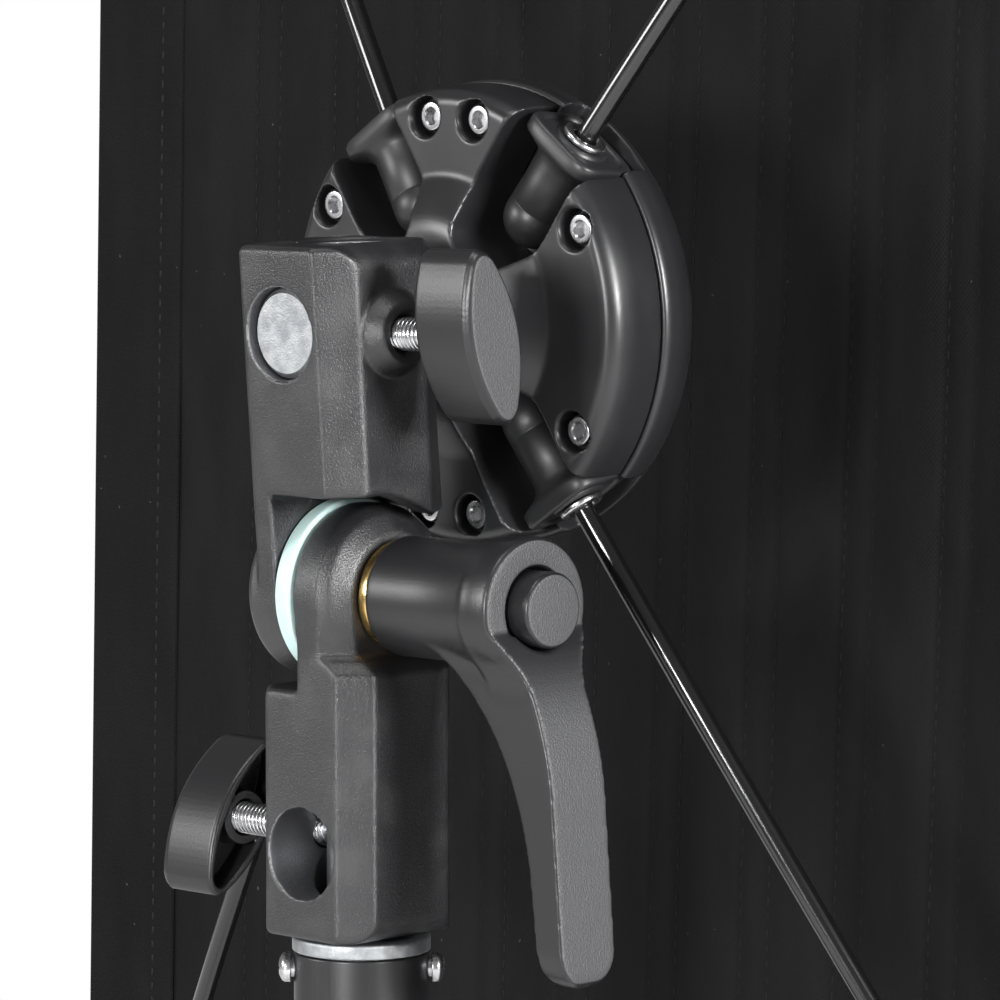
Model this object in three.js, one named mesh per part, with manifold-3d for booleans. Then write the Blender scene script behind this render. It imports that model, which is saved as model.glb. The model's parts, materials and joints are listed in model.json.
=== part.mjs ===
// A fabric light panel on four spring rods, with its hub and the tilting stand bracket that carries it.
// Frame: millimetres, +Z up, -Y behind the panel, +X on the lever's side.
// The origin is the centre of the riser tube's lower end, where the stand holds it.
import * as THREE from 'three';
import { ConvexGeometry } from 'three/addons/geometries/ConvexGeometry.js';
import { mergeVertices } from 'three/addons/utils/BufferGeometryUtils.js';
import Module from 'manifold-3d';

const wasm = await Module();
wasm.setup();

// ---------------------------------------------------------------- driving dimensions
const GAP = 0.3;                 // clearance between pieces that touch
const PIVOT_HEIGHT = 290;        // tilt axis above the riser's lower end
const TILT = 2.5;                // degrees that the upper bracket leans back at rest
const ROLL = 3;                  // degrees that the hub is turned about its spigot at rest

// riser and its stud
const TUBE_DIAMETER = 24.4;
const TUBE_WALL = 1.2;
const COLLAR_DIAMETER = 25;
const COLLAR_HEIGHT = 2.7;
const COLLAR_PLUG_LENGTH = 16;
const COLLAR_SCREW_HEAD = 5.5;
const COLLAR_SCREW_SHANK = 3.6;
const COLLAR_SCREW_DEPTH = 5;
const STUD_DIAMETER = 16;
const STUD_WAIST = 12.4;         // groove that the clamp screws seat in
const STUD_SHANK = 10;           // lower end, inside the collar
const BORE_CLEARANCE = 0.6;      // on the diameter, around a stud or spigot

// bracket bodies
const BODY_WIDTH = 28;
const LOWER_PLAN = { back: 15, front: 13.5, chamfer: [5, 5] };
const UPPER_PLAN = { back: 16.6, front: 10.4, chamfer: [4.7, 5.9] };
const BODY_DRAFT = 1.5;          // the upper body grows this much toward its top, at the back
const FRONT_DRAFT = 1.7;         // and this much toward its bottom, at the front
const LOWER_BODY_HEIGHT = 44.5;
const UPPER_BODY_HEIGHT = 46;
const EDGE_BEVEL = 0.8;
const END_ROUND = 4.5;           // of each body's far end, along its +X edge
const CROSS_BORE_INSET = 15.5;   // cross bore from the far end of each body
const SOCKET_END = 8.5;          // solid metal between the lower socket and the block's inner end
const EAR_RADIUS = 16;
const EAR_CLEARANCE = 1;         // between an ear's round end and the other body
const EAR_BEVEL = 1.8;
const UPPER_EAR_THICKNESS = 9;
const LOWER_EAR_THICKNESS = 6.2; // straight part, before its dome
const LOWER_EAR_DOME = 4;
const LOWER_EAR_DOME_RADIUS = 11;
const ARCH_CLEARANCE = 1.5;      // under the upper body, around the ear and washer
const ARCH_RISE = 1.6;           // the upper body's rear edge stands this much higher
const ARCH_DROP = 3;             // its front edge reaches this much lower
const FRICTION_WASHER = { diameter: 33.4, thickness: 3.4 };
const BRASS_WASHER = { diameter: 19.6, thickness: 2 };
const BOLT_DIAMETER = 8;
const BOLT_HEAD = { acrossFlats: 13, height: 5 };
const BOLT_ENGAGEMENT = 16;      // bolt inside the lever's insert

// clamp screws and their T-knobs
const CLAMP_SCREW_DIAMETER = 6;
const CLAMP_BOSS = { base: 15.4, top: 11, height: 3.5 };
const LOWER_SCREW_RISE = 2;      // lower clamp screw above the lower cross bore
const UPPER_SCREW_DROP = 0.5;    // upper clamp screw below the upper cross bore
const KNOB = { length: 33, width: 13, thickness: 13.5, wall: 1.8, pocket: 5, boss: 10 };
const UPPER_KNOB = { turn: -11, standoff: 8.5 };
const LOWER_KNOB = { turn: 30, standoff: 12.3 };

// lever
const LEVER_HUB = { diameter: 21.5, head: 25, length: 32.2 };
const LEVER_ARM_WIDTH = 13.6;
const LEVER_REACH = 65;
const LEVER_INSERT_DIAMETER = 14;
const LEVER_INSERT_LENGTH = 15.5;
const BUTTON = { diameter: 13.3, proud: 4.3, skirt: 3.5, travel: 3 };
const SPRING = { diameter: 8, wire: 0.9, turns: 3 };

// hub
const HUB_RADIUS = 41.8;
const HUB_REAR = 23.8;           // rear face, ahead of the bracket's vertical axis
const HUB_SEAM = 36.2;
const HUB_FRONT = 48.2;
const HUB_DOME = { radius: 25.5, top: 17.5, height: 5 };
const HUB_WALL = 2.8;
const SPIGOT_FLANGE = { radius: 11.5, length: 5.8 };
const SPIGOT_SHANK = 14;
const SPIGOT_RECESS = 1.4;       // spigot end inside the rear of the cross bore
const CENTER_BOLT = { diameter: 6, flange: 18, flangeHeight: 2, acrossFlats: 10, height: 6, depth: 16 };
const HUB_SCREW = { head: 5.5, headHeight: 2.2, shank: 3, pocket: 7.5, pocketDepth: 4.2, length: 12 };
const HUB_SCREW_INSET = 5.4;     // screw circle inside the hub's rim
const HUB_SCREW_ANGLES = [9.6, 60.3, 119.7, 170.4];

// rods and their sockets
const ROD_DIAMETER = 4;
const ROD_EXIT_ANGLE = 36.3;     // of the eyelet, from the hub's top
const ROD_EXIT_DEPTH = 34.2;     // of the eyelet, along the spigot
const ROD_SPLAY = 34.9;          // of the rod, from the hub's top
const ROD_LEAN = 6.8;            // of the rod, toward the panel
const ROD_REACH = 160;           // how far the rod aims straight on before it bows
const ROD_IN_SOCKET = 18;
const SOCKET = { diameter: 11.5, flange: 18, flangeHeight: 15, flangeThickness: 3 };
const SLOT = { halfWidth: 9.8, endHalfWidth: 5, taper: 8.8, length: 26.8 };
const SLOT_WALL = 1.8;
const EYELET = { diameter: 8.5, thickness: 1.2 };
const ROD_TIP = { diameter: 7, length: 12 };
const POCKET = { diameter: 13, length: 30, wall: 2.4 };

// fabric panel
const PANEL_WIDTH = 400;
const PANEL_HEIGHT = 600;
const PANEL_CORNER = 12;
const PANEL_DISTANCE = 112;      // rear of the back fabric, ahead of the bracket's vertical axis
const PANEL_LEAN = 1.2;          // degrees that the panel leans forward of the hub
const BACK_FABRIC = 1.5;
const FRONT_MAT = 1.7;
const HEM_WIDTH = 29;
const HEM_WALL = 1;
const TIP_INSET = 12;            // rod tip from the panel's edges

// ---------------------------------------------------------------- materials
const paint = (color, roughness, metalness) => new THREE.MeshStandardMaterial({ color, roughness, metalness });
const MATERIALS = {
  blackTube: paint('#101011', 0.42, 0.3),
  zinc: paint('#a9abae', 0.38, 0.9),
  steel: paint('#c9cbce', 0.28, 1.0),
  brass: paint('#c99a3e', 0.3, 1.0),
  powderCoat: paint('#1c1c1e', 0.6, 0.2),
  nylon: paint('#d5ece6', 0.5, 0.0),
  softPlastic: paint('#17171a', 0.7, 0.0),
  button: paint('#131316', 0.5, 0.0),
  hubPlastic: paint('#1a1a1c', 0.45, 0.0),
  socketPlastic: paint('#0e0e10', 0.5, 0.0),
  rodLacquer: paint('#070708', 0.12, 0.0),
  fabric: paint('#0c0c0e', 0.9, 0.0),
  hem: paint('#0a0a0b', 0.8, 0.0),
  ledMat: paint('#d8cfa8', 0.6, 0.0),
};

// ---------------------------------------------------------------- shape helpers
const radians = THREE.MathUtils.degToRad;
const vec = (x, y, z) => new THREE.Vector3(x, y, z);
const AXIS = { x: vec(1, 0, 0), y: vec(0, 1, 0), z: vec(0, 0, 1) };

// A closed three.js geometry as a manifold solid. A mirrored one is turned the right way out.
function solid(geometry, matrix = new THREE.Matrix4()) {
  const bare = geometry.clone().applyMatrix4(matrix);
  for (const name of Object.keys(bare.attributes)) {
    if (name !== 'position') bare.deleteAttribute(name);
  }
  const merged = mergeVertices(bare, 1e-4);
  const points = merged.attributes.position.array;
  const corner = (index) => new THREE.Vector3().fromArray(points, 3 * index);
  const faces = [];
  let volume = 0;
  for (let i = 0; i < merged.index.count; i += 3) {
    const [a, b, c] = [0, 1, 2].map((k) => merged.index.getX(i + k));
    if (a === b || b === c || c === a) continue;
    faces.push([a, b, c]);
    volume += corner(a).dot(corner(b).cross(corner(c)));
  }
  const triVerts = new Uint32Array(faces.flatMap(([a, b, c]) => (volume > 0 ? [a, b, c] : [a, c, b])));
  return new wasm.Manifold(new wasm.Mesh({ numProp: 3, vertProperties: new Float32Array(points), triVerts }));
}

function union(...solids) {
  return solids.reduce((all, next) => all.add(next));
}

function without(base, ...cuts) {
  return cuts.reduce((rest, cut) => rest.subtract(cut), base);
}

// A round bar between two points. Its end can have another diameter.
function bar(diameter, start, end, segments = 24, endDiameter = diameter) {
  const along = end.clone().sub(start);
  const geometry = new THREE.CylinderGeometry(endDiameter / 2, diameter / 2, along.length(), segments);
  geometry.applyQuaternion(new THREE.Quaternion().setFromUnitVectors(AXIS.y, along.clone().normalize()));
  geometry.translate(...start.clone().add(end).multiplyScalar(0.5).toArray());
  return solid(geometry);
}

// A turned piece: [radius, distance along the axis] points, closed on the axis or on themselves.
function turned(profile, axis, segments = 32) {
  const points = profile.map(([radius, along]) => new THREE.Vector2(radius, along));
  if (profile[0][0] > 0) points.push(points[0].clone());
  const geometry = new THREE.LatheGeometry(points, segments);
  geometry.applyQuaternion(new THREE.Quaternion().setFromUnitVectors(AXIS.y, axis));
  return solid(geometry);
}

function box(width, depth, height, centre, basis = new THREE.Matrix4()) {
  const geometry = new THREE.BoxGeometry(width, depth, height);
  return solid(geometry, basis.clone().setPosition(centre));
}

// An outline pushed along the third axis of a basis, with an optional bevel inside its size.
function pushed(outline, length, basis, bevel = 0, curveSegments = 12) {
  const geometry = new THREE.ExtrudeGeometry(outline, {
    depth: length - 2 * bevel,
    bevelEnabled: bevel > 0,
    bevelThickness: bevel,
    bevelSize: bevel,
    bevelOffset: -bevel,
    bevelSegments: 1,
    curveSegments,
  });
  geometry.translate(0, 0, bevel);
  return solid(geometry, basis);
}

function polygon(points) {
  return new THREE.Shape(points.map(([u, v]) => new THREE.Vector2(u, v)));
}

function roundedRectangle(width, height, radius) {
  const [w, h] = [width / 2, height / 2];
  const shape = new THREE.Shape();
  shape.moveTo(-w + radius, -h);
  shape.lineTo(w - radius, -h).absarc(w - radius, -h + radius, radius, -Math.PI / 2, 0);
  shape.lineTo(w, h - radius).absarc(w - radius, h - radius, radius, 0, Math.PI / 2);
  shape.lineTo(-w + radius, h).absarc(-w + radius, h - radius, radius, Math.PI / 2, Math.PI);
  shape.lineTo(-w, -h + radius).absarc(-w + radius, -h + radius, radius, Math.PI, 1.5 * Math.PI);
  return shape;
}

// A tube or rod along a curve.
function swept(path, diameter, steps, sides) {
  const section = new THREE.Shape().absarc(0, 0, diameter / 2, 0, 2 * Math.PI);
  const geometry = new THREE.ExtrudeGeometry(section, {
    steps, extrudePath: path, curveSegments: sides / 2, bevelEnabled: false,
  });
  return solid(geometry);
}

// A basis whose shape lies in the YZ plane and is pushed along +X from x.
const fromX = (x) => new THREE.Matrix4().makeBasis(AXIS.y, AXIS.z, AXIS.x).setPosition(x, 0, 0);
// A basis whose shape lies in the XZ plane and is pushed toward -Y from y.
const fromY = (y) => new THREE.Matrix4().makeBasis(AXIS.x, AXIS.z, vec(0, -1, 0)).setPosition(0, y, 0);
const fromZ = (z) => new THREE.Matrix4().setPosition(0, 0, z);

function hexagon(acrossFlats) {
  const radius = acrossFlats / Math.sqrt(3);
  return polygon([0, 1, 2, 3, 4, 5].map((k) => [
    radius * Math.cos(k * Math.PI / 3),
    radius * Math.sin(k * Math.PI / 3),
  ]));
}

function add(parent, name, shape, material) {
  const { vertProperties, triVerts, numProp } = shape.getMesh();
  const geometry = new THREE.BufferGeometry();
  const buffer = new THREE.InterleavedBuffer(vertProperties, numProp);
  geometry.setAttribute('position', new THREE.InterleavedBufferAttribute(buffer, 3, 0));
  geometry.setIndex(new THREE.BufferAttribute(triVerts, 1));
  geometry.computeVertexNormals();
  const mesh = new THREE.Mesh(geometry, material);
  mesh.name = name;
  parent.add(mesh);
}

// ---------------------------------------------------------------- places worked out from the dimensions
const boreDiameter = STUD_DIAMETER + BORE_CLEARANCE;
const blockStart = EAR_RADIUS + EAR_CLEARANCE;
const lowerEnd = -blockStart - LOWER_BODY_HEIGHT;
const upperEnd = blockStart + UPPER_BODY_HEIGHT;
const lowerBore = lowerEnd + CROSS_BORE_INSET;
const upperBore = upperEnd - CROSS_BORE_INSET;
const holeFor = (diameter) => diameter + 2 * GAP;

// The stack along the tilt axis, each piece starting one gap after the one before.
const after = (span, thickness) => [span[1] + GAP, span[1] + GAP + thickness];
const upperEar = [-BODY_WIDTH / 2, -BODY_WIDTH / 2 + UPPER_EAR_THICKNESS];
const frictionWasher = after(upperEar, FRICTION_WASHER.thickness);
const lowerEar = after(frictionWasher, LOWER_EAR_THICKNESS);
const lowerEarDome = [lowerEar[1], lowerEar[1] + LOWER_EAR_DOME];
const brassWasher = after(lowerEarDome, BRASS_WASHER.thickness);
const leverHub = after(brassWasher, LEVER_HUB.length);

const object = new THREE.Group();
const bracket = new THREE.Group();
bracket.position.z = PIVOT_HEIGHT;
const upper = new THREE.Group();
upper.rotation.x = radians(TILT);
const hub = new THREE.Group();
hub.position.z = upperBore;
hub.rotation.y = radians(ROLL);
object.add(bracket);
bracket.add(upper);
upper.add(hub);

// ---------------------------------------------------------------- riser
const collarTop = PIVOT_HEIGHT + lowerEnd - 2 * GAP;
const tubeTop = collarTop - COLLAR_HEIGHT - GAP;
const tubeBore = TUBE_DIAMETER - 2 * TUBE_WALL;
const collarScrewHeight = tubeTop - COLLAR_SCREW_HEAD / 2 - GAP;

// The screws stand on the diagonal of X and Y.
const screwRay = (side, radius) => vec(side, side, 0).normalize().multiplyScalar(radius).setZ(collarScrewHeight);

function collarScrewHole(side, diameter) {
  const reach = COLLAR_DIAMETER;
  return bar(diameter, screwRay(side, TUBE_DIAMETER / 2 - COLLAR_SCREW_DEPTH - GAP), screwRay(side, reach), 16);
}

function riserTube() {
  const [outer, inner] = [TUBE_DIAMETER / 2, tubeBore / 2];
  const tube = turned([[inner, 0], [outer, 0], [outer, tubeTop], [inner, tubeTop]], AXIS.z);
  const holes = [-1, 1].map((side) => collarScrewHole(side, holeFor(COLLAR_SCREW_SHANK)));
  return without(tube, ...holes);
}

function riserCollar() {
  const rim = COLLAR_DIAMETER / 2;
  const plug = tubeBore / 2 - GAP;
  const hole = holeFor(STUD_SHANK) / 2;
  const bottom = collarTop - COLLAR_HEIGHT;
  const collar = turned([
    [hole, bottom - COLLAR_PLUG_LENGTH], [plug, bottom - COLLAR_PLUG_LENGTH], [plug, bottom],
    [rim, bottom], [rim, collarTop - 0.5], [rim - 0.5, collarTop], [hole, collarTop],
  ], AXIS.z);
  return without(collar, ...[-1, 1].map((side) => collarScrewHole(side, holeFor(COLLAR_SCREW_SHANK))));
}

function riserSpigot() {
  const [shank, full, waist] = [STUD_SHANK / 2, STUD_DIAMETER / 2, STUD_WAIST / 2];
  const foot = collarTop - COLLAR_HEIGHT - COLLAR_PLUG_LENGTH + 2;
  const seat = collarTop + GAP;
  const top = PIVOT_HEIGHT - blockStart - SOCKET_END - 2;
  const waistMiddle = PIVOT_HEIGHT + lowerBore;
  const half = boreDiameter / 2;
  return turned([
    [0, foot], [shank, foot], [shank, seat], [full, seat], [full, waistMiddle - half - 1.5], [waist, waistMiddle - half],
    [waist, waistMiddle + half + 1], [full, waistMiddle + half + 2.5], [full, top - 1], [full - 1, top], [0, top],
  ], AXIS.z, 24);
}

function collarScrew(side) {
  const seat = COLLAR_DIAMETER / 2;
  const at = (radius) => screwRay(side, radius);
  const [wide, middle, top] = [1, 0.9, 0.5].map((share) => share * COLLAR_SCREW_HEAD);
  const shank = bar(COLLAR_SCREW_SHANK, at(TUBE_DIAMETER / 2 - COLLAR_SCREW_DEPTH), at(seat + 1), 12);
  const head = bar(wide, at(seat + 0.2), at(seat + 1.6), 16, middle);
  const crown = bar(middle, at(seat + 1.5), at(seat + 2.4), 16, top);
  return union(shank, head, crown);
}

add(object, 'riser_tube', riserTube(), MATERIALS.blackTube);
add(object, 'riser_collar', riserCollar(), MATERIALS.zinc);
add(object, 'riser_spigot', riserSpigot(), MATERIALS.zinc);
add(object, 'collar_screw_left', collarScrew(-1), MATERIALS.steel);
add(object, 'collar_screw_right', collarScrew(1), MATERIALS.steel);

// ---------------------------------------------------------------- bracket bodies
function bodyPlan({ back, front, chamfer: [cx, cy] }) {
  const w = BODY_WIDTH / 2;
  return polygon([
    [-w, -back + cy], [-w + cx, -back], [w - cx, -back], [w, -back + cy],
    [w, front - cy], [w - cx, front], [-w + cx, front], [-w, front - cy],
  ]);
}

// What is cut away to round the +X edge of a body's far end. toward is 1 at a top, -1 at a bottom.
function endRound(end, toward) {
  const [x, z] = [BODY_WIDTH / 2 - END_ROUND, end - toward * END_ROUND];
  const side = END_ROUND + 2;
  const corner = box(side, 4 * BODY_WIDTH, side, vec(x + side / 2, 0, z + toward * side / 2));
  return without(corner, bar(2 * END_ROUND, vec(x, -3 * BODY_WIDTH, z), vec(x, 3 * BODY_WIDTH, z), 40));
}

// The convex solid around rings of [x, y] points, each ring at its own height.
function lofted(...rings) {
  const points = rings.flatMap(({ z, outline }) => outline.map(([x, y]) => vec(x, y, z)));
  return solid(new ConvexGeometry(points));
}

const boltHole = () => bar(holeFor(BOLT_DIAMETER), vec(-BODY_WIDTH, 0, 0), vec(BODY_WIDTH, 0, 0), 24);

// The cone around a clamp screw and the screw's hole, on the side of the body that side names.
function clampBoss(side, y, z) {
  const face = side * BODY_WIDTH / 2;
  return bar(CLAMP_BOSS.base, vec(face - side, y, z), vec(face + side * CLAMP_BOSS.height, y, z), 32, CLAMP_BOSS.top);
}

function clampHole(side, y, z) {
  return bar(holeFor(CLAMP_SCREW_DIAMETER), vec(0, y, z), vec(side * BODY_WIDTH, y, z), 24);
}

const lowerClamp = vec(0, (LOWER_PLAN.front - LOWER_PLAN.back) / 2, lowerBore + LOWER_SCREW_RISE);
const upperClamp = vec(0, (UPPER_PLAN.front - UPPER_PLAN.back) / 2, upperBore - UPPER_SCREW_DROP);

// Where the lower ear's dome is round: [x, radius] from its straight part to its face.
const domeProfile = [
  [lowerEar[1], EAR_RADIUS], [lowerEar[1] + 0.45 * LOWER_EAR_DOME, EAR_RADIUS - 1.3],
  [lowerEarDome[1] - 0.3, LOWER_EAR_DOME_RADIUS + 0.5], [lowerEarDome[1], LOWER_EAR_DOME_RADIUS],
];

// The lower ear's neck: round shoulders at the pivot that widen to the block's chamfered plan.
function lowerNeck() {
  const left = lowerEar[0];
  const { back, front, chamfer: [cx, cy] } = LOWER_PLAN;
  const round = [
    [left, -EAR_RADIUS], ...domeProfile.map(([x, radius]) => [x, -radius]),
    ...domeProfile.map(([x, radius]) => [x, radius]), [left, EAR_RADIUS],
  ];
  const square = (right) => [
    [left, -back], [right - cx, -back], [right, -back + cy], [right, front - cy], [right - cx, front], [left, front],
  ];
  const besideWasher = { z: -BRASS_WASHER.diameter / 2 - 2 * GAP, outline: square(lowerEarDome[1]) };
  const underLever = { z: -LEVER_HUB.diameter / 2 - 2 * GAP, outline: square(leverHub[0] - GAP) };
  const shoulder = { z: underLever.z - 2, outline: square(BODY_WIDTH / 2) };
  return union(
    lofted({ z: 0, outline: round }, besideWasher),
    lofted(besideWasher, underLever),
    lofted(underLever, shoulder),
    lofted(shoulder, { z: -blockStart - 2 * EDGE_BEVEL, outline: shoulder.outline }),
  );
}

function lowerBody() {
  const block = pushed(bodyPlan(LOWER_PLAN), LOWER_BODY_HEIGHT, fromZ(lowerEnd), EDGE_BEVEL);
  const dome = turned([
    [0, lowerEar[0]], [EAR_RADIUS, lowerEar[0]], ...domeProfile.map(([x, radius]) => [radius, x]),
    [0, lowerEarDome[1]],
  ], AXIS.x, 40);
  const socket = bar(boreDiameter, vec(0, 0, lowerEnd - 1), vec(0, 0, -blockStart - SOCKET_END));
  const crossBore = bar(boreDiameter, vec(0, -BODY_WIDTH, lowerBore), vec(0, BODY_WIDTH, lowerBore));
  const body = union(block, lowerNeck(), dome, clampBoss(-1, lowerClamp.y, lowerClamp.z));
  const cuts = [socket, crossBore, boltHole(), clampHole(-1, lowerClamp.y, lowerClamp.z), endRound(lowerEnd, -1)];
  return without(body, ...cuts);
}

// Leans a body backward: its back grows by BODY_DRAFT to its end, its front by FRONT_DRAFT to its start.
function drafted(geometry, start, length) {
  const position = geometry.attributes.position;
  for (let i = 0; i < position.count; i += 1) {
    const share = (position.getZ(i) - start) / length;
    const y = position.getY(i);
    const growth = y < 0 ? share * BODY_DRAFT / UPPER_PLAN.back : (1 - share) * FRONT_DRAFT / UPPER_PLAN.front;
    position.setY(i, y * (1 + growth));
  }
  return geometry;
}

// The space under the upper body: an arch around the ear, and a step that is higher at the rear.
function upperArch() {
  const edge = -2 * BODY_WIDTH;
  const rear = blockStart + ARCH_RISE;
  const front = blockStart - ARCH_DROP;
  const step = polygon([
    [edge, -BODY_WIDTH], [-edge, -BODY_WIDTH], [-edge, front], [UPPER_PLAN.front / 2, front],
    [0, rear - 0.45 * (rear - front)], [-UPPER_PLAN.back / 3, rear], [edge, rear],
  ]);
  const arch = 2 * (Math.max(FRICTION_WASHER.diameter / 2, EAR_RADIUS) + ARCH_CLEARANCE);
  const under = pushed(step, 3 * BODY_WIDTH, fromX(upperEar[1]));
  return union(under, bar(arch, vec(upperEar[1], 0, 0), vec(lowerEarDome[1] + GAP, 0, 0), 48));
}

const upperBottom = blockStart - ARCH_DROP;

// The upper ear's neck: it widens from the ear's round end to the block's chamfered plan.
function upperNeck() {
  const [left, right] = upperEar;
  const { back, chamfer: [cx, cy] } = UPPER_PLAN;
  const front = UPPER_PLAN.front + FRONT_DRAFT;
  const outline = (rear) => [
    [left, -rear + cy], [left + cx, -rear], [right, -rear], [right, front], [left + cx, front], [left, front - cy],
  ];
  return lofted({ z: 0, outline: outline(EAR_RADIUS) }, { z: upperBottom + 2, outline: outline(back) });
}

function upperBody() {
  const height = upperEnd - upperBottom;
  const plain = new THREE.ExtrudeGeometry(bodyPlan(UPPER_PLAN), {
    depth: height - EDGE_BEVEL, bevelThickness: EDGE_BEVEL, bevelSize: EDGE_BEVEL,
    bevelOffset: -EDGE_BEVEL, bevelSegments: 2,
  });
  plain.translate(0, 0, upperBottom);
  const block = solid(drafted(plain, upperBottom, height));
  const ear = turned([
    [0, upperEar[0]], [EAR_RADIUS - EAR_BEVEL, upperEar[0]], [EAR_RADIUS, upperEar[0] + EAR_BEVEL],
    [EAR_RADIUS, upperEar[1]], [0, upperEar[1]],
  ], AXIS.x, 40);
  const topBore = bar(boreDiameter, vec(0, 0, upperBore), vec(0, 0, upperEnd + 1));
  const crossBore = bar(boreDiameter, vec(0, -BODY_WIDTH, upperBore), vec(0, BODY_WIDTH, upperBore));
  const body = union(without(block, upperArch()), upperNeck(), ear, clampBoss(1, upperClamp.y, upperClamp.z));
  const cuts = [topBore, crossBore, boltHole(), clampHole(1, upperClamp.y, upperClamp.z), endRound(upperEnd, 1)];
  return without(body, ...cuts);
}

function washer(diameter, span, segments) {
  const [outer, inner] = [diameter / 2, holeFor(BOLT_DIAMETER) / 2];
  return turned([[inner, span[0]], [outer, span[0]], [outer, span[1]], [inner, span[1]]], AXIS.x, segments);
}

function tiltBolt() {
  const seat = upperEar[0] - GAP;
  const end = leverHub[0] + BOLT_ENGAGEMENT;
  const head = pushed(hexagon(BOLT_HEAD.acrossFlats), BOLT_HEAD.height, fromX(seat - BOLT_HEAD.height));
  return union(head, bar(BOLT_DIAMETER, vec(seat - 1, 0, 0), vec(end, 0, 0), 24));
}

add(bracket, 'lower_body', lowerBody(), MATERIALS.powderCoat);
add(bracket, 'friction_washer', washer(FRICTION_WASHER.diameter, frictionWasher, 40), MATERIALS.nylon);
add(bracket, 'brass_washer', washer(BRASS_WASHER.diameter, brassWasher, 28), MATERIALS.brass);
add(upper, 'upper_body', upperBody(), MATERIALS.powderCoat);
add(upper, 'tilt_bolt', tiltBolt(), MATERIALS.steel);

// ---------------------------------------------------------------- clamp screws and knobs
const screwTip = STUD_WAIST / 2 + GAP;
const knobInner = (knob) => BODY_WIDTH / 2 + CLAMP_BOSS.height + knob.standoff;
const screwEnd = (knob) => knobInner(knob) + KNOB.pocket + 5;

function clampScrew(side, place, knob) {
  const at = (x) => vec(side * x, place.y, place.z);
  const shank = bar(CLAMP_SCREW_DIAMETER, at(screwTip + 1), at(screwEnd(knob)), 16);
  const point = bar(CLAMP_SCREW_DIAMETER * 0.7, at(screwTip), at(screwTip + 1), 16, CLAMP_SCREW_DIAMETER);
  return union(shank, point);
}

// A lens of two arcs with its ends cut round.
function knobOutline(shrink) {
  const half = KNOB.length / 2 - shrink;
  const bulge = KNOB.width / 2 - shrink;
  const tip = bulge * 0.42;
  const shape = new THREE.Shape();
  shape.moveTo(-tip, -half + tip);
  shape.quadraticCurveTo(0, -half - tip * 0.4, tip, -half + tip);
  shape.quadraticCurveTo(2 * bulge - tip, 0, tip, half - tip);
  shape.quadraticCurveTo(0, half + tip * 0.4, -tip, half - tip);
  shape.quadraticCurveTo(-2 * bulge + tip, 0, -tip, -half + tip);
  return shape;
}

function clampKnob(side, place, knob) {
  const inner = knobInner(knob);
  const basis = fromX(side > 0 ? inner : -inner - KNOB.thickness);
  const spin = new THREE.Matrix4().makeRotationX(radians(-knob.turn));
  const here = new THREE.Matrix4().makeTranslation(0, place.y, place.z).multiply(spin);
  const body = pushed(knobOutline(0), KNOB.thickness, here.clone().multiply(basis), 1.2, 5);
  const hollowStart = side > 0 ? inner - 1 : -inner - KNOB.pocket;
  const hollow = pushed(knobOutline(KNOB.wall), KNOB.pocket + 1, here.clone().multiply(fromX(hollowStart)), 0, 5);
  const at = (x) => vec(side * x, place.y, place.z);
  const boss = bar(KNOB.boss, at(inner + 0.4), at(inner + KNOB.pocket + 1), 20);
  const thread = bar(holeFor(CLAMP_SCREW_DIAMETER), at(inner - 1), at(screwEnd(knob) + GAP), 12);
  return without(union(without(body, hollow), boss), thread);
}

add(upper, 'upper_clamp_screw', clampScrew(1, upperClamp, UPPER_KNOB), MATERIALS.steel);
add(upper, 'upper_clamp_knob', clampKnob(1, upperClamp, UPPER_KNOB), MATERIALS.softPlastic);
add(bracket, 'lower_clamp_screw', clampScrew(-1, lowerClamp, LOWER_KNOB), MATERIALS.steel);
add(bracket, 'lower_clamp_knob', clampKnob(-1, lowerClamp, LOWER_KNOB), MATERIALS.softPlastic);

// ---------------------------------------------------------------- lever
const leverFace = leverHub[1];
const buttonBore = BUTTON.diameter / 2 + 2 * GAP;
const buttonSeat = leverFace - BUTTON.skirt - BUTTON.travel - GAP;
const insertEnd = leverHub[0] + LEVER_INSERT_LENGTH;

// The arm's side view: it curves out from the hub and down to the tip.
function leverArm() {
  const [face, tip] = [leverFace, -LEVER_REACH];
  const shape = new THREE.Shape();
  shape.moveTo(face - 19, -6);
  shape.lineTo(face, -4);
  shape.bezierCurveTo(face + 5, -12, face + 10, -20, face + 10.6, -33);
  shape.lineTo(face + 13, tip + 6);
  shape.quadraticCurveTo(face + 13.4, tip, face + 10.6, tip);
  shape.quadraticCurveTo(face + 8, tip, face + 6.6, tip + 6);
  shape.lineTo(face + 4.6, tip + 21);
  shape.bezierCurveTo(face + 1.5, -28, face - 5, -19, face - 19, -LEVER_HUB.diameter / 2 + 1.2);
  return pushed(shape, LEVER_ARM_WIDTH, fromY(LEVER_ARM_WIDTH / 2), 1.4, 5);
}

function leverHandle() {
  const [radius, head] = [LEVER_HUB.diameter / 2, LEVER_HUB.head / 2];
  const outer = turned([
    [0, leverHub[0]], [radius - 0.6, leverHub[0]], [radius, leverHub[0] + 0.6], [radius, leverFace - 14],
    [head, leverFace - 3], [head, leverFace - 0.7], [head - 0.7, leverFace], [0, leverFace],
  ], AXIS.x);
  const insertHole = bar(holeFor(LEVER_INSERT_DIAMETER), vec(0, 0, 0), vec(insertEnd + GAP, 0, 0), 20);
  const springHole = bar(SPRING.diameter + SPRING.wire + 2, vec(0, 0, 0), vec(leverFace, 0, 0), 16);
  const buttonHole = bar(2 * buttonBore, vec(buttonSeat, 0, 0), vec(leverFace + 20, 0, 0), 28);
  return without(union(outer, leverArm()), insertHole, springHole, buttonHole);
}

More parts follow.
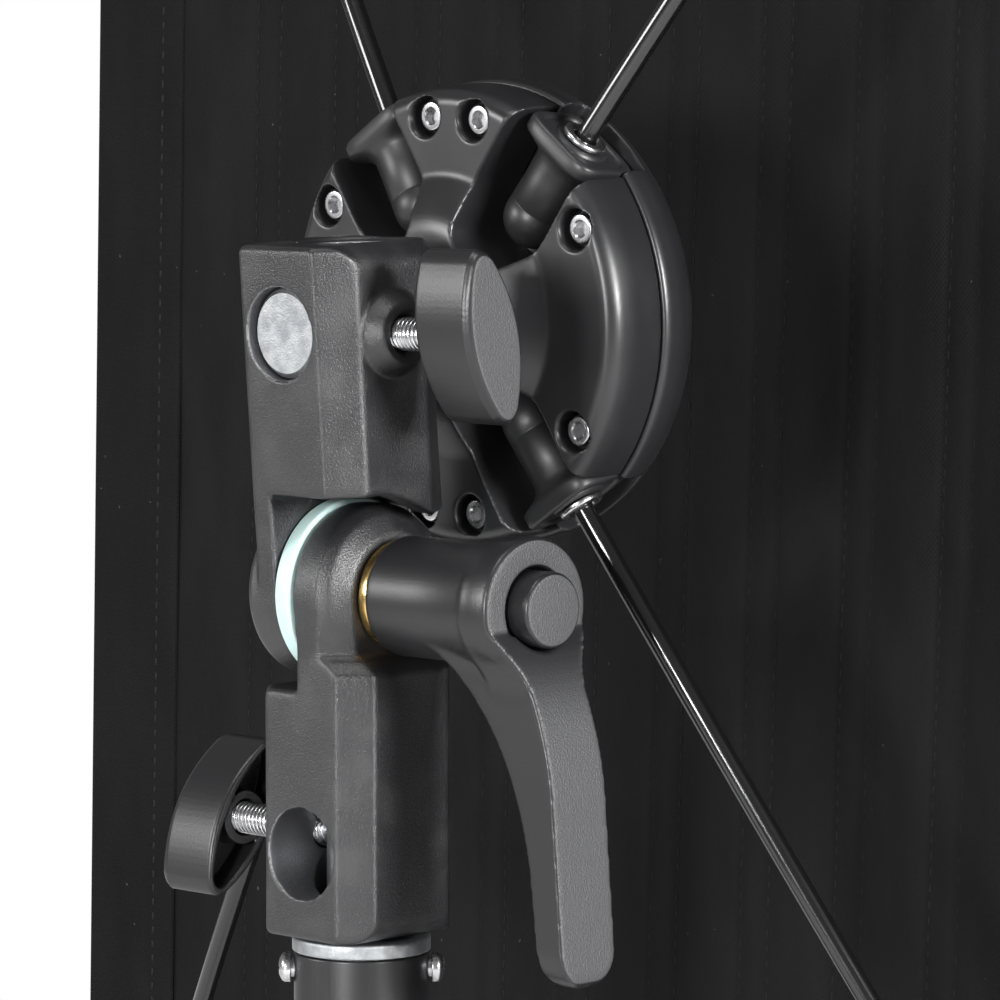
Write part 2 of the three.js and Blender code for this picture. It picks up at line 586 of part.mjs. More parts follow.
function leverInsert() {
  const [outer, inner] = [LEVER_INSERT_DIAMETER / 2, holeFor(BOLT_DIAMETER) / 2];
  const start = leverHub[0] + GAP;
  return turned([[inner, start], [outer, start], [outer, insertEnd], [inner, insertEnd]], AXIS.x, 16);
}

function leverSpring() {
  const start = insertEnd + 1;
  const length = leverFace - BUTTON.travel - start;
  const points = [];
  const perTurn = 8;
  for (let i = 0; i <= SPRING.turns * perTurn; i += 1) {
    const angle = 2 * Math.PI * i / perTurn;
    const x = start + length * i / (SPRING.turns * perTurn);
    points.push(vec(x, SPRING.diameter / 2 * Math.cos(angle), SPRING.diameter / 2 * Math.sin(angle)));
  }
  return swept(new THREE.CatmullRomCurve3(points), SPRING.wire, points.length - 1, 4);
}

function leverButton() {
  const radius = BUTTON.diameter / 2;
  const [inner, outer] = [leverFace - BUTTON.skirt, leverFace + BUTTON.proud];
  const springRoom = (SPRING.diameter + SPRING.wire) / 2 + GAP;
  return turned([
    [0, leverFace + 1], [springRoom, leverFace + 1], [springRoom, inner], [radius, inner],
    [radius, outer - 0.8], [radius - 0.8, outer], [0, outer],
  ], AXIS.x, 28);
}

add(bracket, 'lever_handle', leverHandle(), MATERIALS.softPlastic);
add(bracket, 'lever_insert', leverInsert(), MATERIALS.steel);
add(bracket, 'lever_spring', leverSpring(), MATERIALS.steel);
add(bracket, 'lever_button', leverButton(), MATERIALS.button);

// ---------------------------------------------------------------- rods: where each one runs
const CORNERS = [
  { name: 'upper_left', x: -1, z: 1 },
  { name: 'upper_right', x: 1, z: 1 },
  { name: 'lower_left', x: -1, z: -1 },
  { name: 'lower_right', x: 1, z: -1 },
];
const panelLean = new THREE.Matrix4().makeRotationX(-radians(PANEL_LEAN));
const hemBack = PANEL_DISTANCE - GAP - HEM_WALL;
const tipDepth = hemBack - GAP - ROD_TIP.diameter / 2 - 1;

// The eyelet, the rod's direction there, and the way across the rod in the hub's plane.
function rodStart(corner) {
  const radius = HUB_RADIUS - GAP;
  const [exit, splay, lean] = [ROD_EXIT_ANGLE, ROD_SPLAY, ROD_LEAN].map(radians);
  return {
    eyelet: vec(corner.x * radius * Math.sin(exit), ROD_EXIT_DEPTH, corner.z * radius * Math.cos(exit)),
    along: vec(corner.x * Math.sin(splay) * Math.cos(lean), Math.sin(lean), corner.z * Math.cos(splay) * Math.cos(lean)),
    flat: vec(corner.x * Math.sin(splay), 0, corner.z * Math.cos(splay)),
    across: vec(corner.x * Math.cos(splay), 0, -corner.z * Math.sin(splay)),
  };
}

function rodEnd(corner) {
  const [x, z] = [PANEL_WIDTH / 2 - TIP_INSET, PANEL_HEIGHT / 2 - TIP_INSET];
  const place = vec(corner.x * x, tipDepth, corner.z * z);
  return place.applyMatrix4(panelLean);
}

function rodBow(corner) {
  const { eyelet, along } = rodStart(corner);
  return new THREE.QuadraticBezierCurve3(eyelet, eyelet.clone().addScaledVector(along, ROD_REACH), rodEnd(corner));
}

const onRod = ({ eyelet, along }, distance) => eyelet.clone().addScaledVector(along, distance);

// ---------------------------------------------------------------- hub
function slotOutline(grow) {
  const [wide, narrow] = [SLOT.halfWidth + grow, SLOT.endHalfWidth + grow];
  const [rim, shoulder, end] = [8, -SLOT.length + SLOT.taper, -SLOT.length - grow];
  return polygon([[-wide, rim], [-wide, shoulder], [-narrow, end], [narrow, end], [wide, shoulder], [wide, rim]]);
}

// A slot for a rod socket, through the hub from its rear to y.
function slot(corner, from, to, grow = 0) {
  const { eyelet, flat, across } = rodStart(corner);
  const basis = new THREE.Matrix4().makeBasis(across, flat, AXIS.y);
  basis.setPosition(eyelet.x, from, eyelet.z);
  return pushed(slotOutline(grow), to - from, basis);
}

// The frame of a rod socket: across the rod, along it, and square to both.
function socketBasis(start) {
  const square = new THREE.Vector3().crossVectors(start.across, start.along);
  return new THREE.Matrix4().makeBasis(start.across, start.along, square);
}

function flangePlate(corner, grow, length) {
  const start = rodStart(corner);
  const middle = -1 - SOCKET.flangeThickness / 2 + (length - SOCKET.flangeThickness) / 2 - grow;
  const [width, height] = [SOCKET.flange + 2 * grow, SOCKET.flangeHeight + 2 * grow];
  return box(width, length, height, onRod(start, middle), socketBasis(start));
}

const hubScrewPlaces = HUB_SCREW_ANGLES.flatMap((angle) => [-1, 1].map((side) => ({
  x: side * (HUB_RADIUS - HUB_SCREW_INSET) * Math.sin(radians(angle)),
  z: (HUB_RADIUS - HUB_SCREW_INSET) * Math.cos(radians(angle)),
})));
const alongY = (diameter, place, from, to, segments = 12) => (
  bar(diameter, vec(place.x, from, place.z), vec(place.x, to, place.z), segments)
);

// The hollow between two depths: a ring less the slots' walls and the screw bosses.
function hubHollow(from, to, bossDiameter) {
  const [inner, outer] = [SPIGOT_SHANK + 1, HUB_RADIUS - HUB_WALL];
  const ring = turned([[inner, from], [outer, from], [outer, to], [inner, to]], AXIS.y, 36);
  const walls = CORNERS.map((corner) => slot(corner, from - 1, to + 1, SLOT_WALL));
  const bosses = hubScrewPlaces.map((place) => alongY(bossDiameter, place, from - 1, to + 1, 10));
  return without(ring, ...walls, ...bosses);
}

function hubRearCover() {
  const dome = HUB_REAR - HUB_DOME.height;
  const shell = turned([
    [holeFor(SPIGOT_SHANK) / 2, dome], [HUB_DOME.top, dome], [HUB_DOME.radius, HUB_REAR], [HUB_RADIUS - 1.9, HUB_REAR], [HUB_RADIUS - 0.9, HUB_REAR + 0.9],
    [HUB_RADIUS, HUB_REAR + 4], [HUB_RADIUS, HUB_SEAM], [holeFor(SPIGOT_SHANK) / 2, HUB_SEAM],
  ], AXIS.y, 48);
  const seat = HUB_REAR + HUB_SCREW.pocketDepth;
  const cuts = hubScrewPlaces.flatMap((place) => [
    alongY(HUB_SCREW.pocket, place, HUB_REAR - 1, seat, 16),
    alongY(holeFor(HUB_SCREW.shank), place, HUB_REAR, HUB_SEAM + 1, 8),
  ]);
  for (const corner of CORNERS) {
    cuts.push(slot(corner, dome - 1, HUB_SEAM + 1), flangePlate(corner, GAP, 12));
  }
  cuts.push(hubHollow(HUB_REAR + 3, HUB_SEAM + 1, HUB_SCREW.pocket + 3));
  return without(shell, ...cuts);
}

function hubFrontCover() {
  const start = HUB_SEAM + GAP;
  const shell = turned([
    [0, start], [HUB_RADIUS + 0.3, start], [HUB_RADIUS + 0.7, start + 1], [HUB_RADIUS + 0.7, start + 4.5],
    [HUB_RADIUS - 0.6, start + 8], [HUB_RADIUS - 3.2, HUB_FRONT - 0.6], [HUB_RADIUS - 5, HUB_FRONT], [0, HUB_FRONT],
  ], AXIS.y, 48);
  const boltRoom = start + CENTER_BOLT.flangeHeight + CENTER_BOLT.height;
  const cuts = [bar(CENTER_BOLT.flange + 4 * GAP, vec(0, HUB_SEAM - 1, 0), vec(0, boltRoom, 0), 32)];
  const screwEnds = HUB_REAR + HUB_SCREW.pocketDepth + HUB_SCREW.length + GAP;
  for (const place of hubScrewPlaces) {
    cuts.push(alongY(holeFor(HUB_SCREW.shank), place, HUB_SEAM, screwEnds, 8));
  }
  for (const corner of CORNERS) {
    const start = rodStart(corner);
    cuts.push(flangePlate(corner, GAP, 12));
    cuts.push(bar(holeFor(SOCKET.diameter), onRod(start, -SLOT.length), onRod(start, 4), 16));
  }
  cuts.push(hubHollow(HUB_SEAM - 1, HUB_FRONT - HUB_WALL, HUB_SCREW.shank + 5));
  return without(shell, ...cuts);
}

// The spigot turns in the upper cross bore, held by the clamp screw in its groove.
function hubSpigot() {
  const [full, waist, shank] = [STUD_DIAMETER / 2, STUD_WAIST / 2, SPIGOT_SHANK / 2];
  const lean = BODY_DRAFT * (upperBore - upperBottom) / (upperEnd - upperBottom);
  const rear = -UPPER_PLAN.back - lean + SPIGOT_RECESS;
  const flangeEnd = HUB_REAR - HUB_DOME.height - GAP;
  const flangeStart = flangeEnd - SPIGOT_FLANGE.length;
  const groove = CLAMP_SCREW_DIAMETER / 2 + 2.5;
  const thread = holeFor(CENTER_BOLT.diameter) / 2;
  const threadEnd = HUB_SEAM + GAP - CENTER_BOLT.depth - 1;
  return turned([
    [0, rear], [full - 0.9, rear], [full, rear + 0.9], [full, upperClamp.y - groove - 1.8],
    [waist, upperClamp.y - groove], [waist, upperClamp.y + groove], [full, upperClamp.y + groove + 1.8],
    [full, flangeStart], [SPIGOT_FLANGE.radius - 1, flangeStart], [SPIGOT_FLANGE.radius, flangeStart + 1],
    [SPIGOT_FLANGE.radius, flangeEnd], [shank, flangeEnd], [shank, HUB_SEAM - 0.5], [thread, HUB_SEAM - 0.5],
    [thread, threadEnd], [0, threadEnd],
  ], AXIS.y, 24);
}

function hubCenterBolt() {
  const seat = HUB_SEAM + GAP;
  const flange = bar(CENTER_BOLT.flange, vec(0, seat, 0), vec(0, seat + CENTER_BOLT.flangeHeight, 0), 24);
  const headEnd = seat + CENTER_BOLT.height;
  const head = pushed(hexagon(CENTER_BOLT.acrossFlats), CENTER_BOLT.height - 1, fromY(headEnd));
  const shank = bar(CENTER_BOLT.diameter, vec(0, seat - CENTER_BOLT.depth, 0), vec(0, seat + 1, 0), 16);
  return union(flange, head, shank);
}

function hubScrew(place) {
  const seat = HUB_REAR + HUB_SCREW.pocketDepth - GAP;
  const head = alongY(HUB_SCREW.head, place, seat - HUB_SCREW.headHeight, seat, 12);
  const shank = alongY(HUB_SCREW.shank, place, seat - 0.5, seat + HUB_SCREW.length, 8);
  const basis = fromY(seat - HUB_SCREW.headHeight + 1.3).premultiply(new THREE.Matrix4().makeTranslation(place.x, 0, place.z));
  return without(union(head, shank), pushed(hexagon(2.5), 2, basis));
}

function rodSocket(corner) {
  const start = rodStart(corner);
  const radius = SOCKET.diameter / 2;
  const depth = ROD_IN_SOCKET + GAP;
  const end = -depth;
  const tube = bar(SOCKET.diameter, onRod(start, end), onRod(start, -1.5), 16);
  const dome = new THREE.SphereGeometry(radius, 16, 8);
  const basis = socketBasis(start).setPosition(onRod(start, end));
  const hole = bar(holeFor(ROD_DIAMETER), onRod(start, -depth), onRod(start, 5), 10);
  return without(union(tube, solid(dome, basis), flangePlate(corner, 0, SOCKET.flangeThickness)), hole);
}

function socketEyelet(corner) {
  const start = rodStart(corner);
  const ring = bar(EYELET.diameter, onRod(start, -1 + GAP), onRod(start, -1 + GAP + EYELET.thickness), 16);
  return without(ring, bar(holeFor(ROD_DIAMETER), onRod(start, -5), onRod(start, 5), 12));
}

function rod(corner) {
  const start = rodStart(corner);
  const bow = rodBow(corner);
  const points = [onRod(start, -ROD_IN_SOCKET), onRod(start, -ROD_IN_SOCKET / 2)];
  for (let i = 0; i <= 6; i += 1) points.push(bow.getPoint(i / 6));
  return swept(new THREE.CatmullRomCurve3(points), ROD_DIAMETER, 22, 8);
}

// Frame at the rod's far end: its third axis runs back down the rod.
function tipFrame(corner) {
  const bow = rodBow(corner);
  return { tip: bow.getPoint(1), outward: bow.getTangent(1) };
}

function rodTip(corner) {
  const { tip, outward } = tipFrame(corner);
  const at = (distance) => tip.clone().addScaledVector(outward, distance);
  const cap = bar(ROD_TIP.diameter, at(-ROD_TIP.length + 3), at(2), 12, ROD_TIP.diameter * 0.9);
  const nose = bar(ROD_TIP.diameter * 0.9, at(1.9), at(3.4), 12, ROD_TIP.diameter * 0.4);
  return without(union(cap, nose), bar(holeFor(ROD_DIAMETER), at(-ROD_TIP.length), at(GAP), 8));
}

// A sewn sleeve around each rod tip, closed at its end and flat where it lies on the panel.
function cornerPocket(corner) {
  const { tip, outward } = tipFrame(corner);
  const at = (distance) => tip.clone().addScaledVector(outward, distance);
  const end = 3.4 + GAP;
  const sleeve = bar(POCKET.diameter, at(end + POCKET.wall - POCKET.length), at(end + POCKET.wall), 12);
  const room = bar(ROD_TIP.diameter + 2 * GAP, at(-POCKET.length - 5), at(end), 10);
  const depth = PANEL_DISTANCE;
  const panelSide = box(2 * PANEL_WIDTH, depth, 2 * PANEL_HEIGHT, vec(0, hemBack - GAP + depth / 2, 0));
  return without(sleeve, room, leaned(panelSide));
}

// A solid leaned with the panel, about the hub's centre.
function leaned(shape) {
  return shape.rotate(-PANEL_LEAN, 0, 0);
}

add(hub, 'hub_spigot', hubSpigot(), MATERIALS.zinc);
add(hub, 'hub_rear_cover', hubRearCover(), MATERIALS.hubPlastic);
add(hub, 'hub_front_cover', hubFrontCover(), MATERIALS.hubPlastic);
add(hub, 'hub_center_bolt', hubCenterBolt(), MATERIALS.steel);
hubScrewPlaces.forEach((place, i) => add(hub, `hub_screw_${i + 1}`, hubScrew(place), MATERIALS.steel));
for (const corner of CORNERS) {
  add(hub, `rod_socket_${corner.name}`, rodSocket(corner), MATERIALS.socketPlastic);
  add(hub, `socket_eyelet_${corner.name}`, socketEyelet(corner), MATERIALS.steel);
  add(hub, `rod_${corner.name}`, rod(corner), MATERIALS.rodLacquer);
  add(hub, `rod_tip_${corner.name}`, rodTip(corner), MATERIALS.socketPlastic);
  add(hub, `corner_pocket_${corner.name}`, cornerPocket(corner), MATERIALS.hem);
}

// ---------------------------------------------------------------- panel
const panel = new THREE.Group();
panel.rotation.x = -radians(PANEL_LEAN);
hub.add(panel);

const backFront = PANEL_DISTANCE + BACK_FABRIC;
const matRear = backFront + GAP;
const hemFront = matRear + FRONT_MAT + GAP + HEM_WALL;

// A flat layer with rounded corners, set in from the panel's edge, between two depths.
function layer(inset, from, to) {
  const corner = Math.max(PANEL_CORNER - inset, 2);
  const outline = roundedRectangle(PANEL_WIDTH - 2 * inset, PANEL_HEIGHT - 2 * inset, corner);
  return pushed(outline, to - from, fromY(to), 0, 4);
}

// The binding: a channel around the edge that holds both layers.
function panelHem() {
  const groove = layer(HEM_WALL, PANEL_DISTANCE - GAP, matRear + FRONT_MAT + GAP);
  const window = layer(HEM_WIDTH, hemBack - 1, hemFront + 1);
  return without(layer(0, hemBack, hemFront), groove, window);
}

add(panel, 'panel_back', layer(HEM_WALL + GAP, PANEL_DISTANCE, backFront), MATERIALS.fabric);
add(panel, 'panel_led_mat', layer(HEM_WALL + GAP, matRear, matRear + FRONT_MAT), MATERIALS.ledMat);
add(panel, 'panel_hem', panelHem(), MATERIALS.hem);

export default object;
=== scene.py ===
# %% [markdown]
# # A fabric light panel on its tilting bracket
# A flat fabric light is stretched by four thin spring rods. The rods plug into a round
# plastic hub, and a two-part metal bracket under the hub lets the light swivel, tilt and turn.
# This notebook makes the looks of that object around a model whose sizes are already fixed.
# The first cell loads the fixed model and keeps its box, to compare at the end.

# %% Load the fixed model
import json
import math

import bmesh
import bpy
from mathutils import Matrix, Vector, noise

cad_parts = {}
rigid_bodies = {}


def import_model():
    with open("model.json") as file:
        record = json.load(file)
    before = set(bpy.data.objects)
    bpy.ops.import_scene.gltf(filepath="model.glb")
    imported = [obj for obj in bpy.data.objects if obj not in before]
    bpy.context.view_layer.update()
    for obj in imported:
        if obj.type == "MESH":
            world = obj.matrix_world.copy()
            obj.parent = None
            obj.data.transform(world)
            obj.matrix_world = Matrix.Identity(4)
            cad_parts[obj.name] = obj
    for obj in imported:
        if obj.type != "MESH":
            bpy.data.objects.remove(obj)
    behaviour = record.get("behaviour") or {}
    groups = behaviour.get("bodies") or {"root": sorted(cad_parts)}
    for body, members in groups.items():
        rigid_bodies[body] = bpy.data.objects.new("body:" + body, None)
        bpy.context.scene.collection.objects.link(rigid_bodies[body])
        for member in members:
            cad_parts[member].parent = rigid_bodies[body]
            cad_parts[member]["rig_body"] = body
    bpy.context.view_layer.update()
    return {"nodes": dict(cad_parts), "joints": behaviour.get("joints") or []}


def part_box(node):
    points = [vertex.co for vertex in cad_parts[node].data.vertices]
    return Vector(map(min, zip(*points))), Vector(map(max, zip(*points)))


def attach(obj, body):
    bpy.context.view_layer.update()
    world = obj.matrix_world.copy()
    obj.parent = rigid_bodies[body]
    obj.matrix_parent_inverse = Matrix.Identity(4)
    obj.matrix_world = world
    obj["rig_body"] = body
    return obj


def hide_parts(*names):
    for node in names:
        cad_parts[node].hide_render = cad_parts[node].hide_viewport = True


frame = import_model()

nodes = frame["nodes"]
joints = {joint["name"]: joint for joint in frame["joints"]}

# %% [markdown]
# The bracket's pieces are easiest to describe in millimetres, each in the frame of the part it
# sits on. The pivot is taken as the friction washer's centre. The upper half leans back a little, the hub is
# turned a little about its spigot, and the panel leans a little more. Four matrices hold all that.

# %% Frames of the bracket, the upper half, the hub and the panel
MM = 0.001
LEAN_BACK, HUB_TURN, PANEL_LEAN = (math.radians(a) for a in (2.5, 3.0, 1.2))
UPPER_BORE = 47.5                # spigot's centre above the pivot
low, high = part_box("friction_washer")
pivot = (low + high) / 2 / MM
bracket = Matrix.Translation((0, 0, pivot.z))
upper = bracket @ Matrix.Rotation(LEAN_BACK, 4, "X")
hub = upper @ Matrix.Translation((0, 0, UPPER_BORE)) @ Matrix.Rotation(HUB_TURN, 4, "Y")
panel = hub @ Matrix.Rotation(-PANEL_LEAN, 4, "X")
print("pivot at", round(pivot.z, 2), "mm, hub at", [round(v, 1) for v in hub.translation])

# %% [markdown]
# The camera is a long lens close to eye level, behind the panel and to the lever's side. It
# comes first, because every later choice of detail depends on what can be seen from it.

# %% Camera
AZIMUTH, ELEVATION = math.radians(44.76), math.radians(4.72)
AIM_FROM_PIVOT = Vector((16.8, 18.5, 16.2))
DISTANCE, LENS = 872.5, 175.3

scene = bpy.context.scene
forward = Vector((
    -math.sin(AZIMUTH) * math.cos(ELEVATION),
    math.cos(AZIMUTH) * math.cos(ELEVATION),
    -math.sin(ELEVATION),
))
camera_data = bpy.data.cameras.new("camera")
camera_data.lens = LENS
camera = bpy.data.objects.new("camera", camera_data)
aim = Vector((0, 0, pivot.z)) + AIM_FROM_PIVOT
camera.location = (aim - forward * DISTANCE) * MM
camera.rotation_mode = "QUATERNION"
camera.rotation_quaternion = forward.to_track_quat("-Z", "Y")
scene.collection.objects.link(camera)
scene.camera = camera
print("camera", [round(v, 3) for v in camera.location], "m")

# %% [markdown]
# Shader maths reads best as plain arithmetic. The small class below wraps one output of a
# shader node, so that `mask * 0.3 + 0.1` adds the two Math nodes by itself. Its `node` method
# makes any other node: settings first, then values or links for its sockets.


# %% A socket that can be used in arithmetic
class Wire:
    def __init__(self, tree, socket):
        self.tree, self.socket = tree, socket

    def node(self, kind, settings=(), inputs=(), output=0):
        made = self.tree.nodes.new("ShaderNode" + kind)
        for name, value in dict(settings).items():
            setattr(made, name, value)
        for name, value in dict(inputs).items():
            if isinstance(value, Wire):
                self.tree.links.new(value.socket, made.inputs[name])
            else:
                made.inputs[name].default_value = value
        return Wire(self.tree, made.outputs[output])

    def math(self, operation, other=0.0):
        return self.node("Math", {"operation": operation}, {0: self, 1: other})

    def __add__(self, other):
        return self.math("ADD", other)

    def __mul__(self, other):
        return self.math("MULTIPLY", other)

    def __gt__(self, other):
        return self.math("GREATER_THAN", other)

    __radd__, __rmul__ = __add__, __mul__


# %% [markdown]
# Every finish starts from Blender's Principled shader. What is the same all over is set on
# the shader itself. What changes over the surface, such as grain, is a wire into Base Color,
# Roughness or a Bump. Grain sizes are given in millimetres, since that is how one measures them.

# %% Helpers for finishes
finishes = {}


def finish(slot, colour, roughness, **constants):
    material = bpy.data.materials.new(slot)
    material.use_nodes = True
    shader = material.node_tree.nodes["Principled BSDF"]
    shader.inputs["Base Color"].default_value = (*colour, 1)
    shader.inputs["Roughness"].default_value = roughness
    for name, value in constants.items():
        shader.inputs[name.replace("_", " ")].default_value = value
    finishes[slot] = material
    return Wire(material.node_tree, shader.outputs[0]), shader


def place_on(surface, stretch=(1, 1, 1)):
    start = surface.node("TexCoord", output="Object")
    if stretch == (1, 1, 1):
        return start
    return surface.node("VectorMath", {"operation": "MULTIPLY"}, {0: start, 1: stretch})


def grain(surface, size, detail=2.0, stretch=(1, 1, 1), rough=0.5):
    where = place_on(surface, stretch)
    return surface.node("TexNoise", inputs={
        "Vector": where, "Scale": 1 / (size * MM), "Detail": detail, "Roughness": rough,
    })


def mixed(surface, share, dark, light):
    """Two colours by share. Either colour may be a wire."""
    first, second = (colour if isinstance(colour, Wire) else (*colour, 1) for colour in (dark, light))
    return surface.node("Mix", {"data_type": "RGBA"}, {0: share, 6: first, 7: second}, output=2)


def ramped(surface, value, low, high):
    return surface.node("MapRange", {"interpolation_type": "SMOOTHSTEP"}, {0: value, 1: low, 2: high})


def relief(surface, shader, height, depth, strength=1.0):
    bump = surface.node("Bump", inputs={"Height": height, "Distance": depth * MM, "Strength": strength})
    surface.tree.links.new(bump.socket, shader.inputs["Normal"])


def feed(surface, shader, name, wire):
    surface.tree.links.new(wire.socket, shader.inputs[name])


def facing(surface, axis):
    normal = surface.node("TexCoord", output="Normal")
    return surface.node("SeparateXYZ", inputs={0: normal}, output="XYZ".index(axis)).math("ABSOLUTE")


# %% [markdown]
# The two bracket halves are zinc castings with a black powder coat. Powder melts into a fine
# orange-peel skin, so the coat is two sizes of noise under a satin gloss. The tiny facets of
# that skin are what sparkle on the faces that catch the light. The bores were cut after the
# coating: a `bored` value on each body's mesh marks their bare metal walls.

# %% Powder coat
surface, shader = finish("powder_coat", (0.012, 0.012, 0.013), 0.40, **{"Specular_IOR_Level": 0.62})
coarse, fine_grain = grain(surface, 0.32), grain(surface, 0.15)
bored = surface.node("Attribute", {"attribute_name": "bored"}, output="Fac")
relief(surface, shader, coarse * 0.6 + fine_grain * 0.4, 0.13)
dust = ramped(surface, grain(surface, 9, 4), 0.42, 0.72)
coat = mixed(surface, dust, (0.009, 0.009, 0.010), (0.019, 0.019, 0.020))
feed(surface, shader, "Base Color", mixed(surface, bored, coat, (0.24, 0.24, 0.25)))
feed(surface, shader, "Metallic", bored * 0.9)
feed(surface, shader, "Roughness", dust * 0.08 + 0.30)

# %% [markdown]
# The lever and the T-knobs are one black plastic with two textures: the mould is polished on
# the sides and spark-eroded on the flat gripping faces. Both the lever and the knobs turn about
# X, so how far a surface faces X tells the two textures apart.

# %% Plastic of the lever and the knobs
surface, shader = finish("soft_plastic", (0.02, 0.02, 0.021), 0.42)
on_face = ramped(surface, facing(surface, "X"), 0.86, 0.96)
eroded = grain(surface, 0.36, 3)
relief(surface, shader, eroded * (on_face * 0.85 + 0.15), 0.16)
feed(surface, shader, "Roughness", on_face * 0.12 + 0.36)
feed(surface, shader, "Base Color", mixed(surface, on_face, (0.009, 0.009, 0.010), (0.050, 0.050, 0.052)))

# %% [markdown]
# The hub covers are ABS with a fine texture and a satin shine. The rod sockets are a slightly
# rougher nylon. Handling leaves both a little shinier in places, which is a slow noise.

# %% Plastics of the hub and sockets
for slot, colour, roughness, size, depth in (
    ("hub_plastic", (0.011, 0.011, 0.012), 0.36, 0.22, 0.012),
    ("socket_plastic", (0.013, 0.013, 0.014), 0.44, 0.3, 0.012),
):
    surface, shader = finish(slot, colour, roughness)
    relief(surface, shader, grain(surface, size), depth)
    handled = ramped(surface, grain(surface, 14, 3), 0.35, 0.75)
    feed(surface, shader, "Roughness", handled * 0.10 + (roughness - 0.04))

# %% [markdown]
# The metals are zinc, steel and brass. Zinc parts are cast and plated, so they are cloudy and
# a little sandy. The screws are bright steel. The brass washer is turned, which leaves fine rings; here a
# fine grain stands in for them.

# %% Metals
for slot, dark, light, roughness, size, depth in (
    ("zinc", (0.26, 0.27, 0.28), (0.40, 0.41, 0.42), 0.46, 0.30, 0.07),
    ("steel", (0.40, 0.40, 0.41), (0.66, 0.66, 0.67), 0.26, 0.6, 0.008),
    ("brass", (0.62, 0.38, 0.10), (0.88, 0.62, 0.24), 0.22, 0.3, 0.010),
):
    surface, shader = finish(slot, light, roughness, Metallic=1.0)
    cloud = ramped(surface, grain(surface, 2.5, 5), 0.3, 0.7)
    feed(surface, shader, "Base Color", mixed(surface, cloud, dark, light))
    feed(surface, shader, "Roughness", cloud * -0.10 + (roughness + 0.06))
    relief(surface, shader, grain(surface, size, 3), depth)

# %% [markdown]
# The friction washer is pale green-white nylon, which lets light a little way in. The rods
# are lacquered glass fibre: almost black, glossy, with streaks along the fibres. Their meshes
# carry a `strand` value for that, since the rods run in four directions.

# %% Washer nylon and rod lacquer
surface, shader = finish(
    "nylon", (0.42, 0.56, 0.54), 0.45, Subsurface_Weight=0.25, Subsurface_Scale=0.001)
relief(surface, shader, grain(surface, 0.4), 0.01)

surface, shader = finish("rod_lacquer", (0.004, 0.004, 0.004), 0.14, Coat_Weight=0.3)
strand = surface.node("Attribute", {"attribute_name": "strand"}, output="Vector")
streaks = surface.node("TexNoise", inputs={"Vector": strand, "Scale": 3.0, "Detail": 4.0})
relief(surface, shader, streaks, 0.06)
feed(surface, shader, "Roughness", streaks * 0.3 + 0.02)

# %% [markdown]
# The riser tube is black anodised aluminium. It was drawn through a die, so its skin has faint
# lines along its length: noise stretched along Z.

# %% Riser tube
surface, shader = finish("tube_black", (0.010, 0.010, 0.011), 0.34)
lines = grain(surface, 0.25, 3, (1, 1, 0.02))
relief(surface, shader, lines * 0.6 + grain(surface, 0.2) * 0.4, 0.02)
feed(surface, shader, "Roughness", lines * 0.16 + 0.28)

# %% [markdown]
# The cloths are woven from threads about half a millimetre thick. A weave is two sets of
# ridges at right angles, and sine waves in X and Z make it. Cloth also shows soft mottling,
# where the nap lies differently, and a few specks of lint.


# %% Cloths
def weave(surface, pitch_x, pitch_z):
    axes = [surface.node("SeparateXYZ", inputs={0: place_on(surface)}, output=k) for k in (0, 2)]
    x, z = (axis * (math.pi / (pitch * MM)) for axis, pitch in zip(axes, (pitch_x, pitch_z)))
    over = x.math("SINE") * z.math("SINE")
    return over * 0.5 + 0.5


for slot, dark, light, pitch_x, pitch_z, depth in (
    ("back_fabric", (0.0020, 0.0020, 0.0022), (0.0075, 0.0075, 0.008), 0.45, 0.55, 0.10),
    ("hem_fabric", (0.0018, 0.0018, 0.0020), (0.006, 0.006, 0.0065), 0.9, 0.35, 0.14),
):
    surface, shader = finish(slot, light, 0.85, **{"Specular_IOR_Level": 0.12})
    threads, nap = weave(surface, pitch_x, pitch_z), grain(surface, 0.7, 4)
    mottle = ramped(surface, grain(surface, 22, 5, (1.6, 1, 0.5)), 0.3, 0.75)
    lint = grain(surface, 1.1, 0.0) > 0.90
    tone = threads * 0.35 + mottle * 0.45 + nap * 0.3
    body = mixed(surface, tone, dark, light)
    feed(surface, shader, "Base Color", mixed(surface, lint, body, (0.04, 0.04, 0.04)))
    relief(surface, shader, threads * 0.7 + nap * 0.5, depth)

# %% [markdown]
# The front of the light is a pale silicone mat with square yellow light chips. The chips'
# phosphor is a finish of its own, and so are the stitches that hold the cloth.

# %% Light mat, chips and thread
surface, shader = finish("led_mat", (0.72, 0.72, 0.68), 0.55)
relief(surface, shader, weave(surface, 0.8, 0.8) * 0.5 + grain(surface, 0.5) * 0.5, 0.04)
feed(surface, shader, "Roughness", grain(surface, 6, 3) * 0.2 + 0.45)
surface, shader = finish("phosphor", (0.86, 0.62, 0.10), 0.35)
glowing = mixed(surface, grain(surface, 0.6), (0.80, 0.52, 0.06), (0.92, 0.74, 0.20))
feed(surface, shader, "Base Color", glowing)
surface, shader = finish("thread", (0.006, 0.006, 0.0065), 0.7, Specular_IOR_Level=0.2)
relief(surface, shader, grain(surface, 0.12), 0.03)
print("finishes:", ", ".join(finishes))

# %% [markdown]
# Now the shapes. Four small tools are enough for hard goods: a skin through rings of points, a
# piece turned on a lathe, an outline pushed straight, and a bar between two points. Outlines
# get their corners rounded first, because no real edge is perfectly sharp.

# %% Tools for shapes
X, Y, Z = Vector((1, 0, 0)), Vector((0, 1, 0)), Vector((0, 0, 1))
AXES = {"X": (X, Y, Z), "Y": (Y, X, Z), "Z": (Z, X, Y)}


